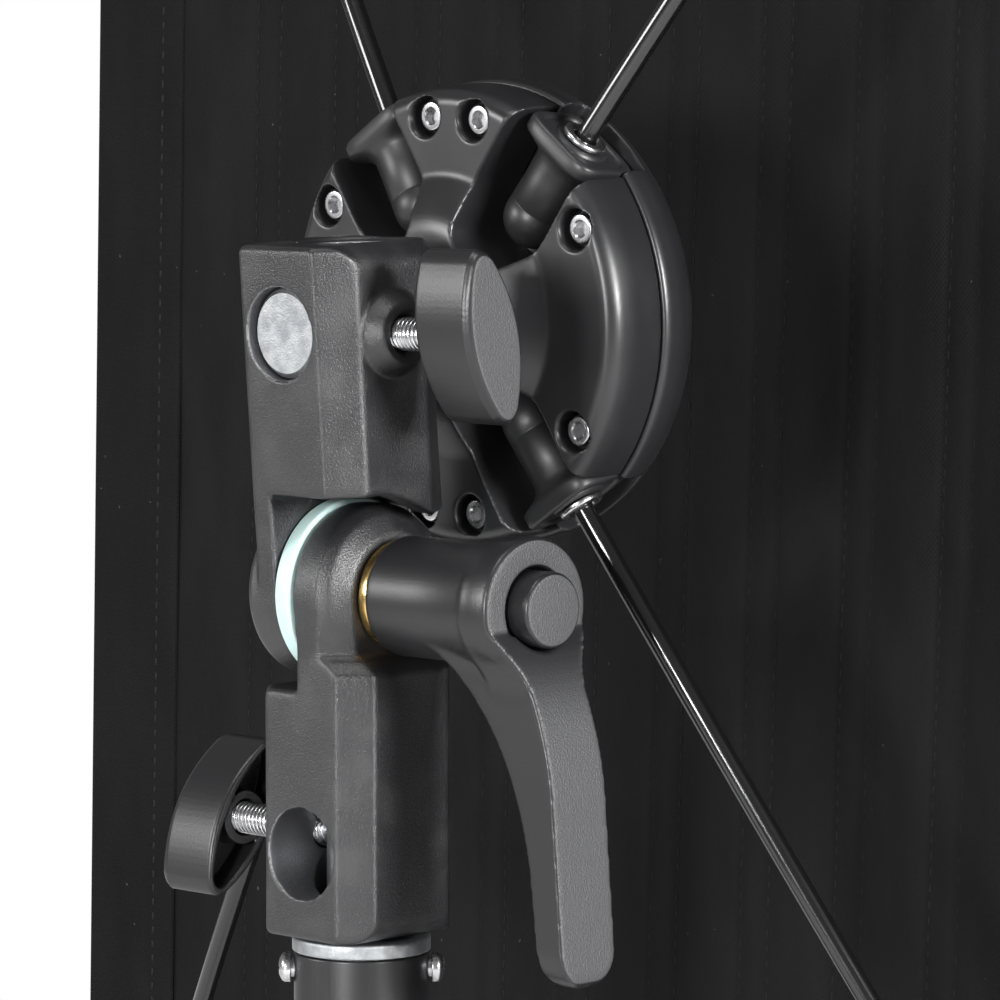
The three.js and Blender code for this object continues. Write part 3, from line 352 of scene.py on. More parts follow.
def shaped(points, faces):
    mesh = bpy.data.meshes.new("shape")
    mesh.from_pydata([tuple(p) for p in points], [], [tuple(f) for f in faces])
    shell = bmesh.new()
    shell.from_mesh(mesh)
    bmesh.ops.recalc_face_normals(shell, faces=shell.faces)
    shell.to_mesh(mesh)
    shell.free()
    made = bpy.data.objects.new("shape", mesh)
    scene.collection.objects.link(made)
    return made


def skin(rings, loop=False):
    points, faces, spans = [], [], []
    for ring in rings:
        spans.append((len(points), len(ring)))
        points += ring
    pairs = list(zip(spans, spans[1:])) + ([(spans[-1], spans[0])] if loop else [])
    for (a, count_a), (b, count_b) in pairs:
        count = max(count_a, count_b)
        for k in range(count):
            j = (k + 1) % count
            around = (a + k % count_a, a + j % count_a, b + j % count_b, b + k % count_b)
            faces.append(tuple(dict.fromkeys(around)))
    if not loop:
        faces += [range(a, a + count) for a, count in (spans[0], spans[-1]) if count > 1]
    return shaped(points, faces)


def rounded(points, radius=0.0, steps=5, closed=True):
    result = []
    for i, point in enumerate(points):
        corner = Vector(point[:2])
        reach = point[2] if len(point) > 2 else radius
        if reach <= 0 or (not closed and i in (0, len(points) - 1)):
            result.append(corner)
            continue
        before = Vector(points[i - 1][:2]) - corner
        after = Vector(points[(i + 1) % len(points)][:2]) - corner
        reach = min(reach, 0.49 * before.length, 0.49 * after.length)
        start, end = corner + before.normalized() * reach, corner + after.normalized() * reach
        for k in range(steps + 1):
            t = k / steps
            result.append(start * (1 - t) ** 2 + corner * 2 * t * (1 - t) + end * t * t)
    return result


def turned(profile, axis="X", segments=128, soften=0.0):
    along, u, v = AXES[axis]
    open_ended = profile[0][0] == 0
    rings = []
    for radius, distance in rounded(profile, soften, closed=not open_ended):
        if radius < 1e-6:
            rings.append([along * distance])
            continue
        turns = (2 * math.pi * k / segments for k in range(segments))
        rings.append([along * distance + (u * math.cos(t) + v * math.sin(t)) * radius for t in turns])
    return skin(rings, loop=not open_ended)


def pushed(outline, low, high, axis):
    along, u, v = AXES[axis]
    return skin([[along * d + u * p[0] + v * p[1] for p in outline] for d in (low, high)])


def bar(diameter, start, end, end_diameter=None, segments=72):
    start, end = Vector(start), Vector(end)
    direction = (end - start).normalized()
    across = direction.orthogonal().normalized()
    other = direction.cross(across)
    turns = [2 * math.pi * k / segments for k in range(segments)]
    ends = ((start, diameter), (end, end_diameter or diameter))
    return skin([[c + (across * math.cos(t) + other * math.sin(t)) * d / 2 for t in turns] for c, d in ends])


def hull(points):
    shell = bmesh.new()
    for point in points:
        shell.verts.new(point)
    made = bmesh.ops.convex_hull(shell, input=shell.verts)
    inside = {e for e in made["geom_interior"] + made["geom_unused"] if isinstance(e, bmesh.types.BMVert)}
    bmesh.ops.delete(shell, geom=list(inside), context="VERTS")
    mesh = bpy.data.meshes.new("hull")
    shell.to_mesh(mesh)
    shell.free()
    solid = bpy.data.objects.new("hull", mesh)
    scene.collection.objects.link(solid)
    return solid


def block(low, high):
    return hull([(x, y, z) for x in (low[0], high[0]) for y in (low[1], high[1]) for z in (low[2], high[2])])


# %% [markdown]
# A casting or a moulding is all soft edges: where a boss meets a wall the metal flows into a
# small fillet. One can bevel every edge by hand, but bevels fail where many cuts meet. Here the
# parts are joined and cut with Boolean modifiers, then a voxel Remesh turns the result into one
# even skin, and a Smooth modifier rounds each edge by about the size of its voxels.


# %% Joining, cutting and softening
def baked(piece):
    bpy.context.view_layer.update()
    seen = piece.evaluated_get(bpy.context.evaluated_depsgraph_get())
    mesh = bpy.data.meshes.new_from_object(seen)
    piece.modifiers.clear()
    piece.data = mesh
    return piece


def formed(base, add=(), cut=(), voxel=0.0, smooth=0):
    for operation, parts in (("UNION", add), ("DIFFERENCE", cut)):
        for part in parts:
            step = base.modifiers.new(operation, "BOOLEAN")
            step.operation, step.object, step.solver = operation, part, "MANIFOLD"
    if voxel:
        step = base.modifiers.new("voxels", "REMESH")
        step.mode, step.voxel_size = "VOXEL", voxel
    if smooth:
        step = base.modifiers.new("smooth", "SMOOTH")
        step.factor, step.iterations = 0.5, smooth
    baked(base)
    for part in (*add, *cut):
        bpy.data.objects.remove(part)
    return base


def settle(piece, how, node, slot, place=Matrix.Identity(4), sharp=None):
    piece.data.transform(Matrix.Scale(MM, 4) @ place)
    piece.name = f"{how}_{node}"
    piece.data.name = piece.name
    piece.data.materials.clear()
    piece.data.materials.append(finishes[slot])
    piece.data.shade_smooth()
    if sharp:
        piece.data.set_sharp_from_angle(angle=math.radians(sharp))
    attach(piece, nodes[node]["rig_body"])
    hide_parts(node)
    corners = [piece.matrix_world @ Vector(c) for c in piece.bound_box]
    worst = 0.0
    for k in range(3):
        here = [c[k] for c in corners]
        cad = [c[k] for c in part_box(node)]
        worst = max(worst, abs(min(here) - cad[0]), abs(max(here) - cad[1]))
    print(f"{piece.name}: {len(piece.data.polygons)} faces, within {worst / MM:.2f} mm of its node's box")
    return piece


FINE = 0.3

# %% [markdown]
# The lower half of the bracket is a chamfered block with a round ear on top. The ear is domed
# toward the lever, and its shoulders flow down into the block. It is made as a block, a stack of
# convex hulls and a turned dome, softened like a casting, and then bored like the real one.

# %% Lower body: sizes and outline
GAP = 0.3
WIDTH, DRAFT, FRONT_DRAFT, END_ROUND = 28.0, 1.5, 1.7, 4.5
LOWER_BACK, LOWER_FRONT, LOWER_CHAMFER = 15.0, 13.5, (5.0, 5.0)
UPPER_BACK, UPPER_FRONT, UPPER_CHAMFER = 16.6, 10.4, (4.7, 5.9)
BLOCK_START = 17.0               # from the pivot to the end of each block
LOWER_END, UPPER_END = -61.5, 63.0
LOWER_BORE = -46.0
BORE, BOLT_HOLE, SCREW_HOLE = 16.6, 8.6, 6.6
EAR = 16.0
UPPER_EAR, WASHER, LOWER_EAR, DOME = (-14.0, -5.0), (-4.7, -1.3), (-1.0, 5.2), (5.2, 9.2)
LOWER_CLAMP, UPPER_CLAMP = Vector((0, -0.75, -44)), Vector((0, -3.1, 47.0))
SIDE = WIDTH / 2


def body_plan(back, front, chamfer):
    cx, cy = chamfer
    return [
        (-SIDE, -back + cy), (-SIDE + cx, -back), (SIDE - cx, -back), (SIDE, -back + cy),
        (SIDE, front - cy), (SIDE - cx, front), (-SIDE + cx, front), (-SIDE, front - cy),
    ]


lower_plan = body_plan(LOWER_BACK, LOWER_FRONT, LOWER_CHAMFER)
upper_plan = body_plan(UPPER_BACK, UPPER_FRONT, UPPER_CHAMFER)
dome_profile = [(DOME[0], EAR), (DOME[0] + 1.8, EAR - 1.3), (DOME[1] - 0.3, 11.5), (DOME[1], 11.0)]


def shrunk(outline, by):
    half_x, half_y = SIDE, LOWER_BACK
    return [(x * (1 - by / half_x), y * (1 - by / half_y)) for x, y in outline]


def stacked(levels):
    return skin([[Vector((x, y, z)) for x, y in outline] for z, outline in levels])


def boss(side, place):
    base, top, height = 15.4, 11.0, 3.5
    start, end = Vector(place), Vector(place)
    start.x, end.x = side * (SIDE - 1), side * (SIDE + height)
    return bar(base + 1.2, start, end, top)


def end_round(end, toward):
    x, z = SIDE - END_ROUND, end - toward * END_ROUND
    low, high = sorted((z, z + toward * 8))
    corner = block((x, -40, low), (x + 8, 40, high))
    return formed(corner, cut=[bar(2 * END_ROUND, (x, -45, z), (x, 45, z), segments=96)])


def mark_bores(piece, low, high, cross):
    """Marks the machined walls: the upright bore between two heights, and the cross bore."""
    values = []
    for vertex in piece.data.vertices:
        x, y, z = vertex.co
        upright = math.hypot(x, y) < BORE / 2 + 0.12 and low < z < high
        values.append(float(upright or math.hypot(x, z - cross) < BORE / 2 + 0.12))
    piece.data.attributes.new("bored", "FLOAT", "POINT").data.foreach_set("value", values)
    print(piece.name, "machined vertices", int(sum(values)))


# %% Lower body: cast, then bored
def neck_hulls():
    left = LOWER_EAR[0]

    edge = [(left, EAR), *dome_profile]
    ring = [(x, s * r) for s in (-1, 1) for x, r in edge]

    cx, cy = LOWER_CHAMFER

    def square(right):
        return [
            (left, -LOWER_BACK), (right - cx, -LOWER_BACK), (right, -LOWER_BACK + cy),
            (right, LOWER_FRONT - cy), (right - cx, LOWER_FRONT), (left, LOWER_FRONT),
        ]

    levels = [
        (0, ring), (-10.4, square(DOME[1])), (-11.35, square(11.5)), (-13.35, square(SIDE)),
        (-BLOCK_START - 1.6, square(SIDE)),
    ]
    solids = []
    for (z_a, outline_a), (z_b, outline_b) in zip(levels, levels[1:]):
        solids.append(hull([(x, y, z_a) for x, y in outline_a] + [(x, y, z_b) for x, y in outline_b]))
    return solids


def dome_solid():
    profile = [(0, LOWER_EAR[0]), (EAR, LOWER_EAR[0]), *[(r, x) for x, r in dome_profile], (0, DOME[1])]
    return turned(profile)


block_levels = [
    (LOWER_END, shrunk(lower_plan, 0.6)), (LOWER_END + 0.6, lower_plan),
    (-BLOCK_START - 0.6, lower_plan), (-BLOCK_START, shrunk(lower_plan, 0.6)),
]
casting = formed(
    stacked(block_levels), add=[*neck_hulls(), dome_solid(), boss(-1, LOWER_CLAMP)],
    cut=[end_round(LOWER_END, -1)], voxel=FINE * 1.5, smooth=8)
lower_body = formed(
    casting,
    cut=[
        bar(BORE, (0, 0, LOWER_END - 3), (0, 0, -25.5)),
        bar(BORE, (0, -30, LOWER_BORE), (0, 30, LOWER_BORE)),
        bar(BOLT_HOLE, (-30, 0, 0), (30, 0, 0)),
        bar(SCREW_HOLE, LOWER_CLAMP, LOWER_CLAMP - 30 * X),
        bar(7.0, LOWER_CLAMP - 16.6 * X, LOWER_CLAMP - 19 * X, 11.0),
        block((-40, -40, -BLOCK_START + 0.02), (LOWER_EAR[0], 40, 30)),
    ],
    voxel=FINE, smooth=3)
mark_bores(lower_body, LOWER_END + 0.3, -25, LOWER_BORE)
settle(lower_body, "cast", "lower_body", "powder_coat", bracket)

# %% [markdown]
# The upper half is the same block upside down, but its back leans out by the mould's draft, and
# an arch under it clears the lower ear and the washer. The arch is cut before the softening, so
# its edge rounds over like cast metal, and the bores are cut after it.

# %% Upper body
ARCH_RISE, ARCH_DROP = 1.6, 3.0
ARCH_RADIUS = 33.4 / 2 + 1.5
bottom = BLOCK_START - ARCH_DROP


def drafted(outline, z):
    share = max(0.0, (z - bottom) / (UPPER_END - bottom))
    rear, front = 1 + share * DRAFT / UPPER_BACK, 1 + (1 - share) * FRONT_DRAFT / UPPER_FRONT
    return [(x, y * (rear if y < 0 else front)) for x, y in outline]


levels = [bottom, UPPER_END - 0.8, UPPER_END]
upper_block = stacked([
    (levels[0], drafted(upper_plan, levels[0])), (levels[1], drafted(upper_plan, levels[1])),
    (levels[2], drafted(shrunk(upper_plan, 0.8), levels[2])),
])
rear, front = BLOCK_START + ARCH_RISE, BLOCK_START - ARCH_DROP
arch_step = rounded([
    (-60, -30), (60, -30), (60, front), (UPPER_FRONT / 2, front, 1.5),
    (0, rear - 0.45 * (rear - front), 1.5), (-UPPER_BACK / 3, rear, 1.5), (-60, rear),
])
ear_disc = turned([
    (0, UPPER_EAR[0]), (EAR - 1.8, UPPER_EAR[0], 0.8), (EAR, UPPER_EAR[0] + 1.8, 0.8),
    (EAR, UPPER_EAR[1], 0.3), (0, UPPER_EAR[1]),
])


def neck_outline(rear, z):
    (left, right), (cx, cy) = UPPER_EAR, UPPER_CHAMFER
    front = UPPER_FRONT + FRONT_DRAFT
    return [
        (left, -rear + cy, z), (left + cx, -rear, z), (right, -rear, z),
        (right, front, z), (left + cx, front, z), (left, front - cy, z),
    ]


neck = hull(neck_outline(EAR, 0) + neck_outline(UPPER_BACK, bottom + 2))
casting = formed(
    upper_block,
    cut=[
        pushed(arch_step, UPPER_EAR[1], 90, "X"), end_round(UPPER_END, 1),
        bar(2 * ARCH_RADIUS, (UPPER_EAR[1], 0, 0), (DOME[1] + GAP, 0, 0), segments=160),
    ])
casting = formed(casting, add=[neck, ear_disc, boss(1, UPPER_CLAMP)], voxel=FINE * 1.3, smooth=6)
upper_body = formed(
    casting,
    cut=[
        bar(BORE, (0, 0, UPPER_BORE), (0, 0, UPPER_END + 3)),
        bar(BORE + 1.6, (0, 0, UPPER_END - 0.7), (0, 0, UPPER_END + 1), BORE + 4),
        bar(BORE, (0, -30, UPPER_BORE), (0, 30, UPPER_BORE)),
        bar(BOLT_HOLE, (-30, 0, 0), (30, 0, 0)),
        bar(SCREW_HOLE, UPPER_CLAMP, UPPER_CLAMP + 30 * X),
        bar(7.0, UPPER_CLAMP + 16.6 * X, UPPER_CLAMP + 19 * X, 11.0),
    ],
    voxel=FINE, smooth=3)
mark_bores(upper_body, 30, UPPER_END - 0.9, UPPER_BORE)
settle(upper_body, "cast", "upper_body", "powder_coat", upper)

# %% [markdown]
# Between the ears sits a nylon friction washer, and a brass washer takes the lever's pressure.
# A steel bolt with a hexagon head runs through all of them. Turned profiles with a small radius
# at each edge are enough for the washers.

# %% Washers and tilt bolt
BRASS = (9.5, 11.5)
washers = (
    ("friction_washer", 16.7, WASHER, 0.5, "nylon"),
    ("brass_washer", 9.8, BRASS, 0.35, "brass"),
)
for node, radius, (start, end), edge, slot in washers:
    bore = BOLT_HOLE / 2
    profile = [(bore, start, 0.2), (radius, start, edge), (radius, end, edge), (bore, end, 0.2)]
    settle(turned(profile, segments=192), "turned", node, slot, bracket, sharp=50)


def hexagon(across_flats):
    radius = across_flats / math.sqrt(3)
    return [(radius * math.cos(k * math.pi / 3), radius * math.sin(k * math.pi / 3)) for k in range(6)]


head_end = UPPER_EAR[0] - GAP
head = pushed(hexagon(13), head_end - 5, head_end, "X")
crown = turned([
    (0, head_end - 5), (6.1, head_end - 5), (8.2, head_end - 3.9), (8.2, head_end + 1), (0, head_end + 1),
])
limit = head.modifiers.new("crown", "BOOLEAN")
limit.operation, limit.object, limit.solver = "INTERSECT", crown, "MANIFOLD"
baked(head)
bpy.data.objects.remove(crown)
tilt_bolt = formed(head, add=[bar(8, (head_end - 1, 0, 0), (27.8, 0, 0))])
settle(tilt_bolt, "turned", "tilt_bolt", "steel", upper, sharp=30)

# %% [markdown]
# The clamp screws are M6, with a real helical thread of 1 mm pitch. A thread is a cylinder
# whose radius depends on the distance along it and the angle around it together, so the rings
# of the skin carry it directly. The last turns fade out, as a cut thread does.

# %% Threaded clamp screws
PITCH, CREST, ROOT = 1.0, 3.0, 2.45
SCREW_TIP, INTO_KNOB = 6.5, 10.0


def threaded_screw(screw_end):
    rings, steps_per_turn, around = [], 10, 40
    count = int((screw_end - SCREW_TIP) / PITCH * steps_per_turn)
    for i in range(count + 1):
        x = SCREW_TIP + i * PITCH / steps_per_turn
        fade = min(1.0, (x - SCREW_TIP) / 1.2)
        ring = []
        for k in range(around):
            turn = k / around
            angle = 2 * math.pi * turn
            phase = (x / PITCH - turn) % 1.0
            radius = ROOT + (CREST - ROOT) * min(1.0, 2.6 * abs(phase - 0.5))
            radius *= 0.72 + 0.28 * fade
            ring.append(Vector((x, radius * math.cos(angle), radius * math.sin(angle))))
        rings.append(ring)
    return skin(rings)


CLAMPS = (
    ("upper", 1, UPPER_CLAMP, upper, 11.0, 26.0), ("lower", -1, LOWER_CLAMP, bracket, -30.0, 29.8),
)
for name, side, place, holder, turn, inner in CLAMPS:
    facing_side = Matrix.Identity(4) if side > 0 else Matrix.Rotation(math.pi, 4, "Z")
    where = holder @ Matrix.Translation((0, place.y, place.z)) @ facing_side
    settle(threaded_screw(inner + INTO_KNOB), "threaded", f"{name}_clamp_screw", "steel", where, sharp=60)

# %% [markdown]
# Each clamp screw ends in a T-knob: a leaf-shaped bar of plastic, hollow underneath, with a
# narrow raised border round its gripping face. The leaf is drawn as one outline. The border is a
# thin step on the outer face, which survives the remesh because it is wider than two voxels.

# %% T-knobs
KNOB_THICK = 13.5


def leaf(shrink):
    half, bulge = 16.5 - shrink, 6.5 - shrink
    tip = bulge * 0.42
    ends = [
        ((-tip, -half + tip), (0, -half - tip * 0.4), (tip, -half + tip)),
        ((tip, -half + tip), (2 * bulge - tip, 0), (tip, half - tip)),
        ((tip, half - tip), (0, half + tip * 0.4), (-tip, half - tip)),
        ((-tip, half - tip), (-2 * bulge + tip, 0), (-tip, -half + tip)),
    ]
    outline = []
    for a, b, c in ends:
        for k in range(24):
            t = k / 24
            outline.append(Vector(a) * (1 - t) ** 2 + Vector(b) * 2 * t * (1 - t) + Vector(c) * t * t)
    return outline


def leaf_block(levels):
    return skin([[Vector((x, p[0], p[1])) for p in leaf(shrink)] for x, shrink in levels])


def t_knob(inner):
    outer = inner + KNOB_THICK
    body = leaf_block([
        (inner, 0.5), (inner + 0.6, 0.05), (outer - 1.5, 0.0), (outer - 1.1, 0.35), (outer - 0.9, 0.35),
        (outer - 0.35, 0.75), (outer, 1.3),
    ])
    hollow = leaf_block([(inner - 1, 1.7), (inner + 5, 2.0)])
    centre = bar(10, (inner + 0.4, 0, 0), (inner + 6, 0, 0))
    hole = bar(SCREW_HOLE, (inner - 1, 0, 0), (inner + INTO_KNOB + 0.3, 0, 0))
    knob = formed(body, cut=[hollow])
    return formed(knob, add=[centre], cut=[hole], voxel=FINE * 0.8, smooth=2)


for name, side, place, holder, turn, inner in CLAMPS:
    facing_side = Matrix.Identity(4) if side > 0 else Matrix.Rotation(math.pi, 4, "Z")
    spin = Matrix.Rotation(math.radians(turn), 4, "X")
    where = holder @ Matrix.Translation((0, place.y, place.z)) @ spin @ facing_side
    settle(t_knob(inner), "moulded", f"{name}_clamp_knob", "soft_plastic", where)

# %% [markdown]
# The lever handle is a moulding with a smooth round hub and an arm that sweeps out and down.
# Seen from its face, the arm runs out of the round head in two long curves. Seen from the side,
# it bends away from the bracket. The overlap of those two outlines, each pushed straight through
# the other, is the arm.

# %% Lever handle
LEVER_START, LEVER_FACE, REACH = 11.8, 44.0, 65.0
HEAD, ARM = 12.5, 6.8


def face_outline(root):
    blend = 14.0                 # radius of the curve from the round head into the arm
    centre_y = ARM + blend
    centre_z = -math.sqrt((root + blend) ** 2 - centre_y ** 2)
    top = math.atan2(-centre_z, centre_y)
    right = []
    for k in range(41):          # round the root, from its top to where the curve begins
        a = math.pi / 2 - (math.pi / 2 + top) * k / 40
        right.append((root * math.cos(a), root * math.sin(a)))
    for k in range(1, 21):       # the curve into the arm
        a = math.pi - top + top * k / 20
        right.append((centre_y + blend * math.cos(a), centre_z + blend * math.sin(a)))
    for k in range(25):          # the arm's round end
        a = -math.pi / 2 * k / 24
        right.append((ARM * math.cos(a), -REACH + ARM + ARM * math.sin(a)))
    return right + [(-y, z) for y, z in reversed(right[1:-1])]


def bezier(a, b, c, d, count=16):
    a, b, c, d = (Vector(p) for p in (a, b, c, d))
    steps = (k / count for k in range(count))
    return [a * (1 - t) ** 3 + b * 3 * t * (1 - t) ** 2 + c * 3 * t * t * (1 - t) + d * t ** 3 for t in steps]


def side_outline(start, low):
    f, tip = LEVER_FACE, -REACH
    outer = bezier((f, -3), (f + 4.6, -11), (f + 9.4, -20), (f + 10.6, -33))
    end = rounded([(f + 10.6, -33), (f + 13.2, tip, 4), (f + 7.2, tip, 4), (f + 4.6, tip + 21)], closed=False)
    inner = bezier((f + 4.6, tip + 21), (f + 1.5, -28), (f - start / 4, -16), (f - start, low))
    root = [(f - start, 2), (f - start, 6), (f - 3, 6), (f - 0.2, 4)]
    return [*root, *outer, *end[1:-1], *inner, (f - start, low)]


def arm(root, start, low):
    side = pushed(side_outline(start, low), -20, 20, "Y")
    face = pushed(face_outline(root), 15, 70, "X")
    overlap = side.modifiers.new("face", "BOOLEAN")
    overlap.operation, overlap.object, overlap.solver = "INTERSECT", face, "MANIFOLD"
    baked(side)
    bpy.data.objects.remove(face)
    return side


# One arm starts inside the straight part of the hub, the other inside the wider head.
lever_hub = turned([
    (0, LEVER_START), (10.75, LEVER_START, 0.6), (10.75, LEVER_FACE - 15, 5), (HEAD, LEVER_FACE - 4, 3),
    (HEAD, LEVER_FACE, 0.9), (0, LEVER_FACE),
])
lever = formed(lever_hub, add=[arm(10.6, 20, -7), arm(HEAD - 0.2, 7, -9.5)], voxel=FINE * 1.5, smooth=8)
lever = formed(
    lever,
    cut=[
        bar(14.6, (0, 0, 0), (27.6, 0, 0)),
        bar(10.9, (0, 0, 0), (LEVER_FACE, 0, 0)),
        bar(14.5, (LEVER_FACE - 6.8, 0, 0), (LEVER_FACE + 20, 0, 0)),
        bar(14.5, (LEVER_FACE - 0.4, 0, 0), (LEVER_FACE + 0.6, 0, 0), 16.6),
    ],
    voxel=FINE, smooth=3)
settle(lever, "moulded", "lever_handle", "soft_plastic", bracket)

button = turned([
    (0, LEVER_FACE + 1), (4.75, LEVER_FACE + 1), (4.75, LEVER_FACE - 3.5), (6.65, LEVER_FACE - 3.5),
    (6.65, LEVER_FACE + 4.3, 0.9), (0, LEVER_FACE + 4.3),
], segments=96)
settle(button, "moulded", "lever_button", "soft_plastic", bracket, sharp=50)

# %% [markdown]
# The riser is a tube with a zinc collar pressed into it, held by two small pan-head screws, and
# a stud that the lower body clamps. The screws have a cross recess, made by cutting two bars.

# %% Riser tube, collar, stud and their screws
collar_top = pivot.z + LOWER_END - 2 * GAP
tube_top = collar_top - 2.7 - GAP
TUBE, COLLAR = 12.2, 12.5
screw_height = tube_top - 5.5 / 2 - GAP


def screw_ray(side, radius):
    return Vector((side, side, 0)).normalized() * radius + Z * screw_height


def collar_screw_holes():
    return [bar(4.2, screw_ray(side, 7), screw_ray(side, 20), segments=32) for side in (-1, 1)]


tube = turned([(11.0, 0, 0.3), (TUBE, 0, 0.3), (TUBE, tube_top, 0.4), (11.0, tube_top, 0.3)], "Z", 160)
tube = formed(tube, cut=collar_screw_holes())
settle(tube, "drawn", "riser_tube", "tube_black", sharp=35)
seat = collar_top - 2.7
collar = turned([
    (5.3, seat - 16, 0.3), (10.7, seat - 16, 0.3), (10.7, seat), (COLLAR, seat, 0.3),
    (COLLAR, collar_top, 0.7), (5.3, collar_top, 0.5),
], "Z", 160)
collar = formed(collar, cut=collar_screw_holes())
settle(collar, "turned", "riser_collar", "zinc", sharp=35)
waist = pivot.z + LOWER_BORE
stud_top = pivot.z - 27.5
stud = turned([
    (0, seat - 14), (5, seat - 14), (5, collar_top + GAP), (8, collar_top + GAP, 0.4),
    (8, waist - 9.8, 0.5), (6.2, waist - 8.3, 0.5), (6.2, waist + 9.3, 0.5), (8, waist + 10.8, 0.5),
    (8, stud_top, 1.0), (0, stud_top),
], "Z", 128)
settle(stud, "turned", "riser_spigot", "zinc", sharp=35)

for name, side in (("left", -1), ("right", 1)):
    ray = Vector((side, side, 0)).normalized()
    pan = turned([
        (0, TUBE - 5), (1.8, TUBE - 5, 0.3), (1.8, COLLAR + 0.2), (2.75, COLLAR + 0.2, 0.2),
        (2.75, COLLAR + 1.6, 1.0), (1.4, COLLAR + 2.4, 0.6), (0, COLLAR + 2.4),
    ], "X", 64)
    slots = [
        block((COLLAR + 1.3, -1.6, -0.28), (COLLAR + 4, 1.6, 0.28)),
        block((COLLAR + 1.3, -0.28, -1.6), (COLLAR + 4, 0.28, 1.6)),
    ]
    pan = formed(pan, cut=slots)
    where = Matrix.Translation((0, 0, screw_height)) @ X.rotation_difference(ray).to_matrix().to_4x4()
    settle(pan, "turned", f"collar_screw_{name}", "steel", where, sharp=35)

# %% [markdown]
# The hub is two covers screwed together round a spigot. Four slots let the rod sockets swing
# out, and eight deep pockets hold the screws. The covers are turned profiles with many segments,
# so that their round shoulder shines evenly, and all openings are cut in one go.

# %% Where the rods run
HUB_RADIUS, HUB_REAR, HUB_SEAM, HUB_FRONT = 41.8, 23.8, 36.2, 48.2
EXIT_DEPTH = 34.2
EXIT, SPLAY, ROD_LEAN = (math.radians(a) for a in (36.3, 34.9, 6.8))
CORNERS = {"upper_left": (-1, 1), "upper_right": (1, 1), "lower_left": (-1, -1), "lower_right": (1, -1)}
ROD_REACH, TIP_DEPTH, TIP_INSET = 160.0, 105.9, 12.0
HALF_WIDTH, HALF_HEIGHT = 200.0, 300.0


def rod_start(corner):
    sx, sz = CORNERS[corner]
    radius = HUB_RADIUS - GAP
    return {
        "eyelet": Vector((sx * radius * math.sin(EXIT), EXIT_DEPTH, sz * radius * math.cos(EXIT))),
        "along": Vector((
            sx * math.sin(SPLAY) * math.cos(ROD_LEAN), math.sin(ROD_LEAN),
            sz * math.cos(SPLAY) * math.cos(ROD_LEAN),
        )),
        "flat": Vector((sx * math.sin(SPLAY), 0, sz * math.cos(SPLAY))),
        "across": Vector((sx * math.cos(SPLAY), 0, -sz * math.sin(SPLAY))),
    }


def on_rod(corner, distance):
    start = rod_start(corner)
    return start["eyelet"] + start["along"] * distance


def rod_frame(corner, distance=0.0):
    start = rod_start(corner)
    square = start["across"].cross(start["along"])
    turn = Matrix((start["across"], start["along"], square)).transposed().to_4x4()
    return Matrix.Translation(on_rod(corner, distance)) @ turn


# %% Openings in the hub
def slot_block(corner, low, high, grow=0.0, round_off=3.5):
    start = rod_start(corner)
    wide, narrow = 9.8 + grow, 5.0 + grow
    shoulder, end = -26.8 + 8.8, -26.8 - grow
    outline = rounded([
        (-wide, 8), (-wide, shoulder, round_off), (-narrow, end, round_off),
        (narrow, end, round_off), (wide, shoulder, round_off), (wide, 8),
    ])
    rings = []
    for y in (low, high):
        origin = Vector((start["eyelet"].x, y, start["eyelet"].z))
        rings.append([origin + start["across"] * p[0] + start["flat"] * p[1] for p in outline])
    return skin(rings)


def flange_room(corner):
    made = block((-9.3, -10, -7.8), (9.3, 2.5, 7.8))
    made.data.transform(rod_frame(corner, -1.0 - 3.0 + 10.0 - 0.3))
    return made


SCREW_RING = HUB_RADIUS - 5.4
screw_places = [
    Vector((side * SCREW_RING * math.sin(math.radians(a)), 0, SCREW_RING * math.cos(math.radians(a))))
    for a in (9.6, 60.3, 119.7, 170.4) for side in (-1, 1)
]


def hollow_ring(low, high, boss_diameter):
    ring = turned([(15, low), (39, low), (39, high), (15, high)], "Y", 160)
    walls = [slot_block(corner, low - 1, high + 1, 1.8) for corner in CORNERS]
    bosses = [bar(boss_diameter, p + Y * (low - 1), p + Y * (high + 1), segments=24) for p in screw_places]
    return formed(ring, cut=walls + bosses)


# %% Rear cover
dome_top = HUB_REAR - 5
rear_cover = turned([
    (7.3, dome_top, 0.3), (17.5, dome_top, 2.5), (25.5, HUB_REAR, 0.8),
    (39.6, HUB_REAR, 1.6), (41.2, HUB_REAR + 1.8, 1.6), (HUB_RADIUS, HUB_REAR + 5, 1.5),
    (HUB_RADIUS, HUB_SEAM, 0.5), (7.3, HUB_SEAM, 0.3),
], "Y", 256)
cuts = [slot_block(corner, dome_top - 1, HUB_SEAM + 1) for corner in CORNERS]
cuts += [flange_room(corner) for corner in CORNERS]
for place in screw_places:
    cuts.append(bar(7.5, place + Y * (HUB_REAR - 1), place + Y * (HUB_REAR + 4.2), segments=48))
    cuts.append(bar(8.9, place + Y * (HUB_REAR - 0.6), place + Y * (HUB_REAR + 0.5), 7.4, segments=48))
    cuts.append(bar(3.6, place + Y * HUB_REAR, place + Y * (HUB_SEAM + 1), segments=24))
cuts.append(hollow_ring(HUB_REAR + 3, HUB_SEAM + 1, 10.5))
rear_cover = formed(rear_cover, cut=cuts, voxel=FINE * 1.15, smooth=4)
settle(rear_cover, "moulded", "hub_rear_cover", "hub_plastic", hub)

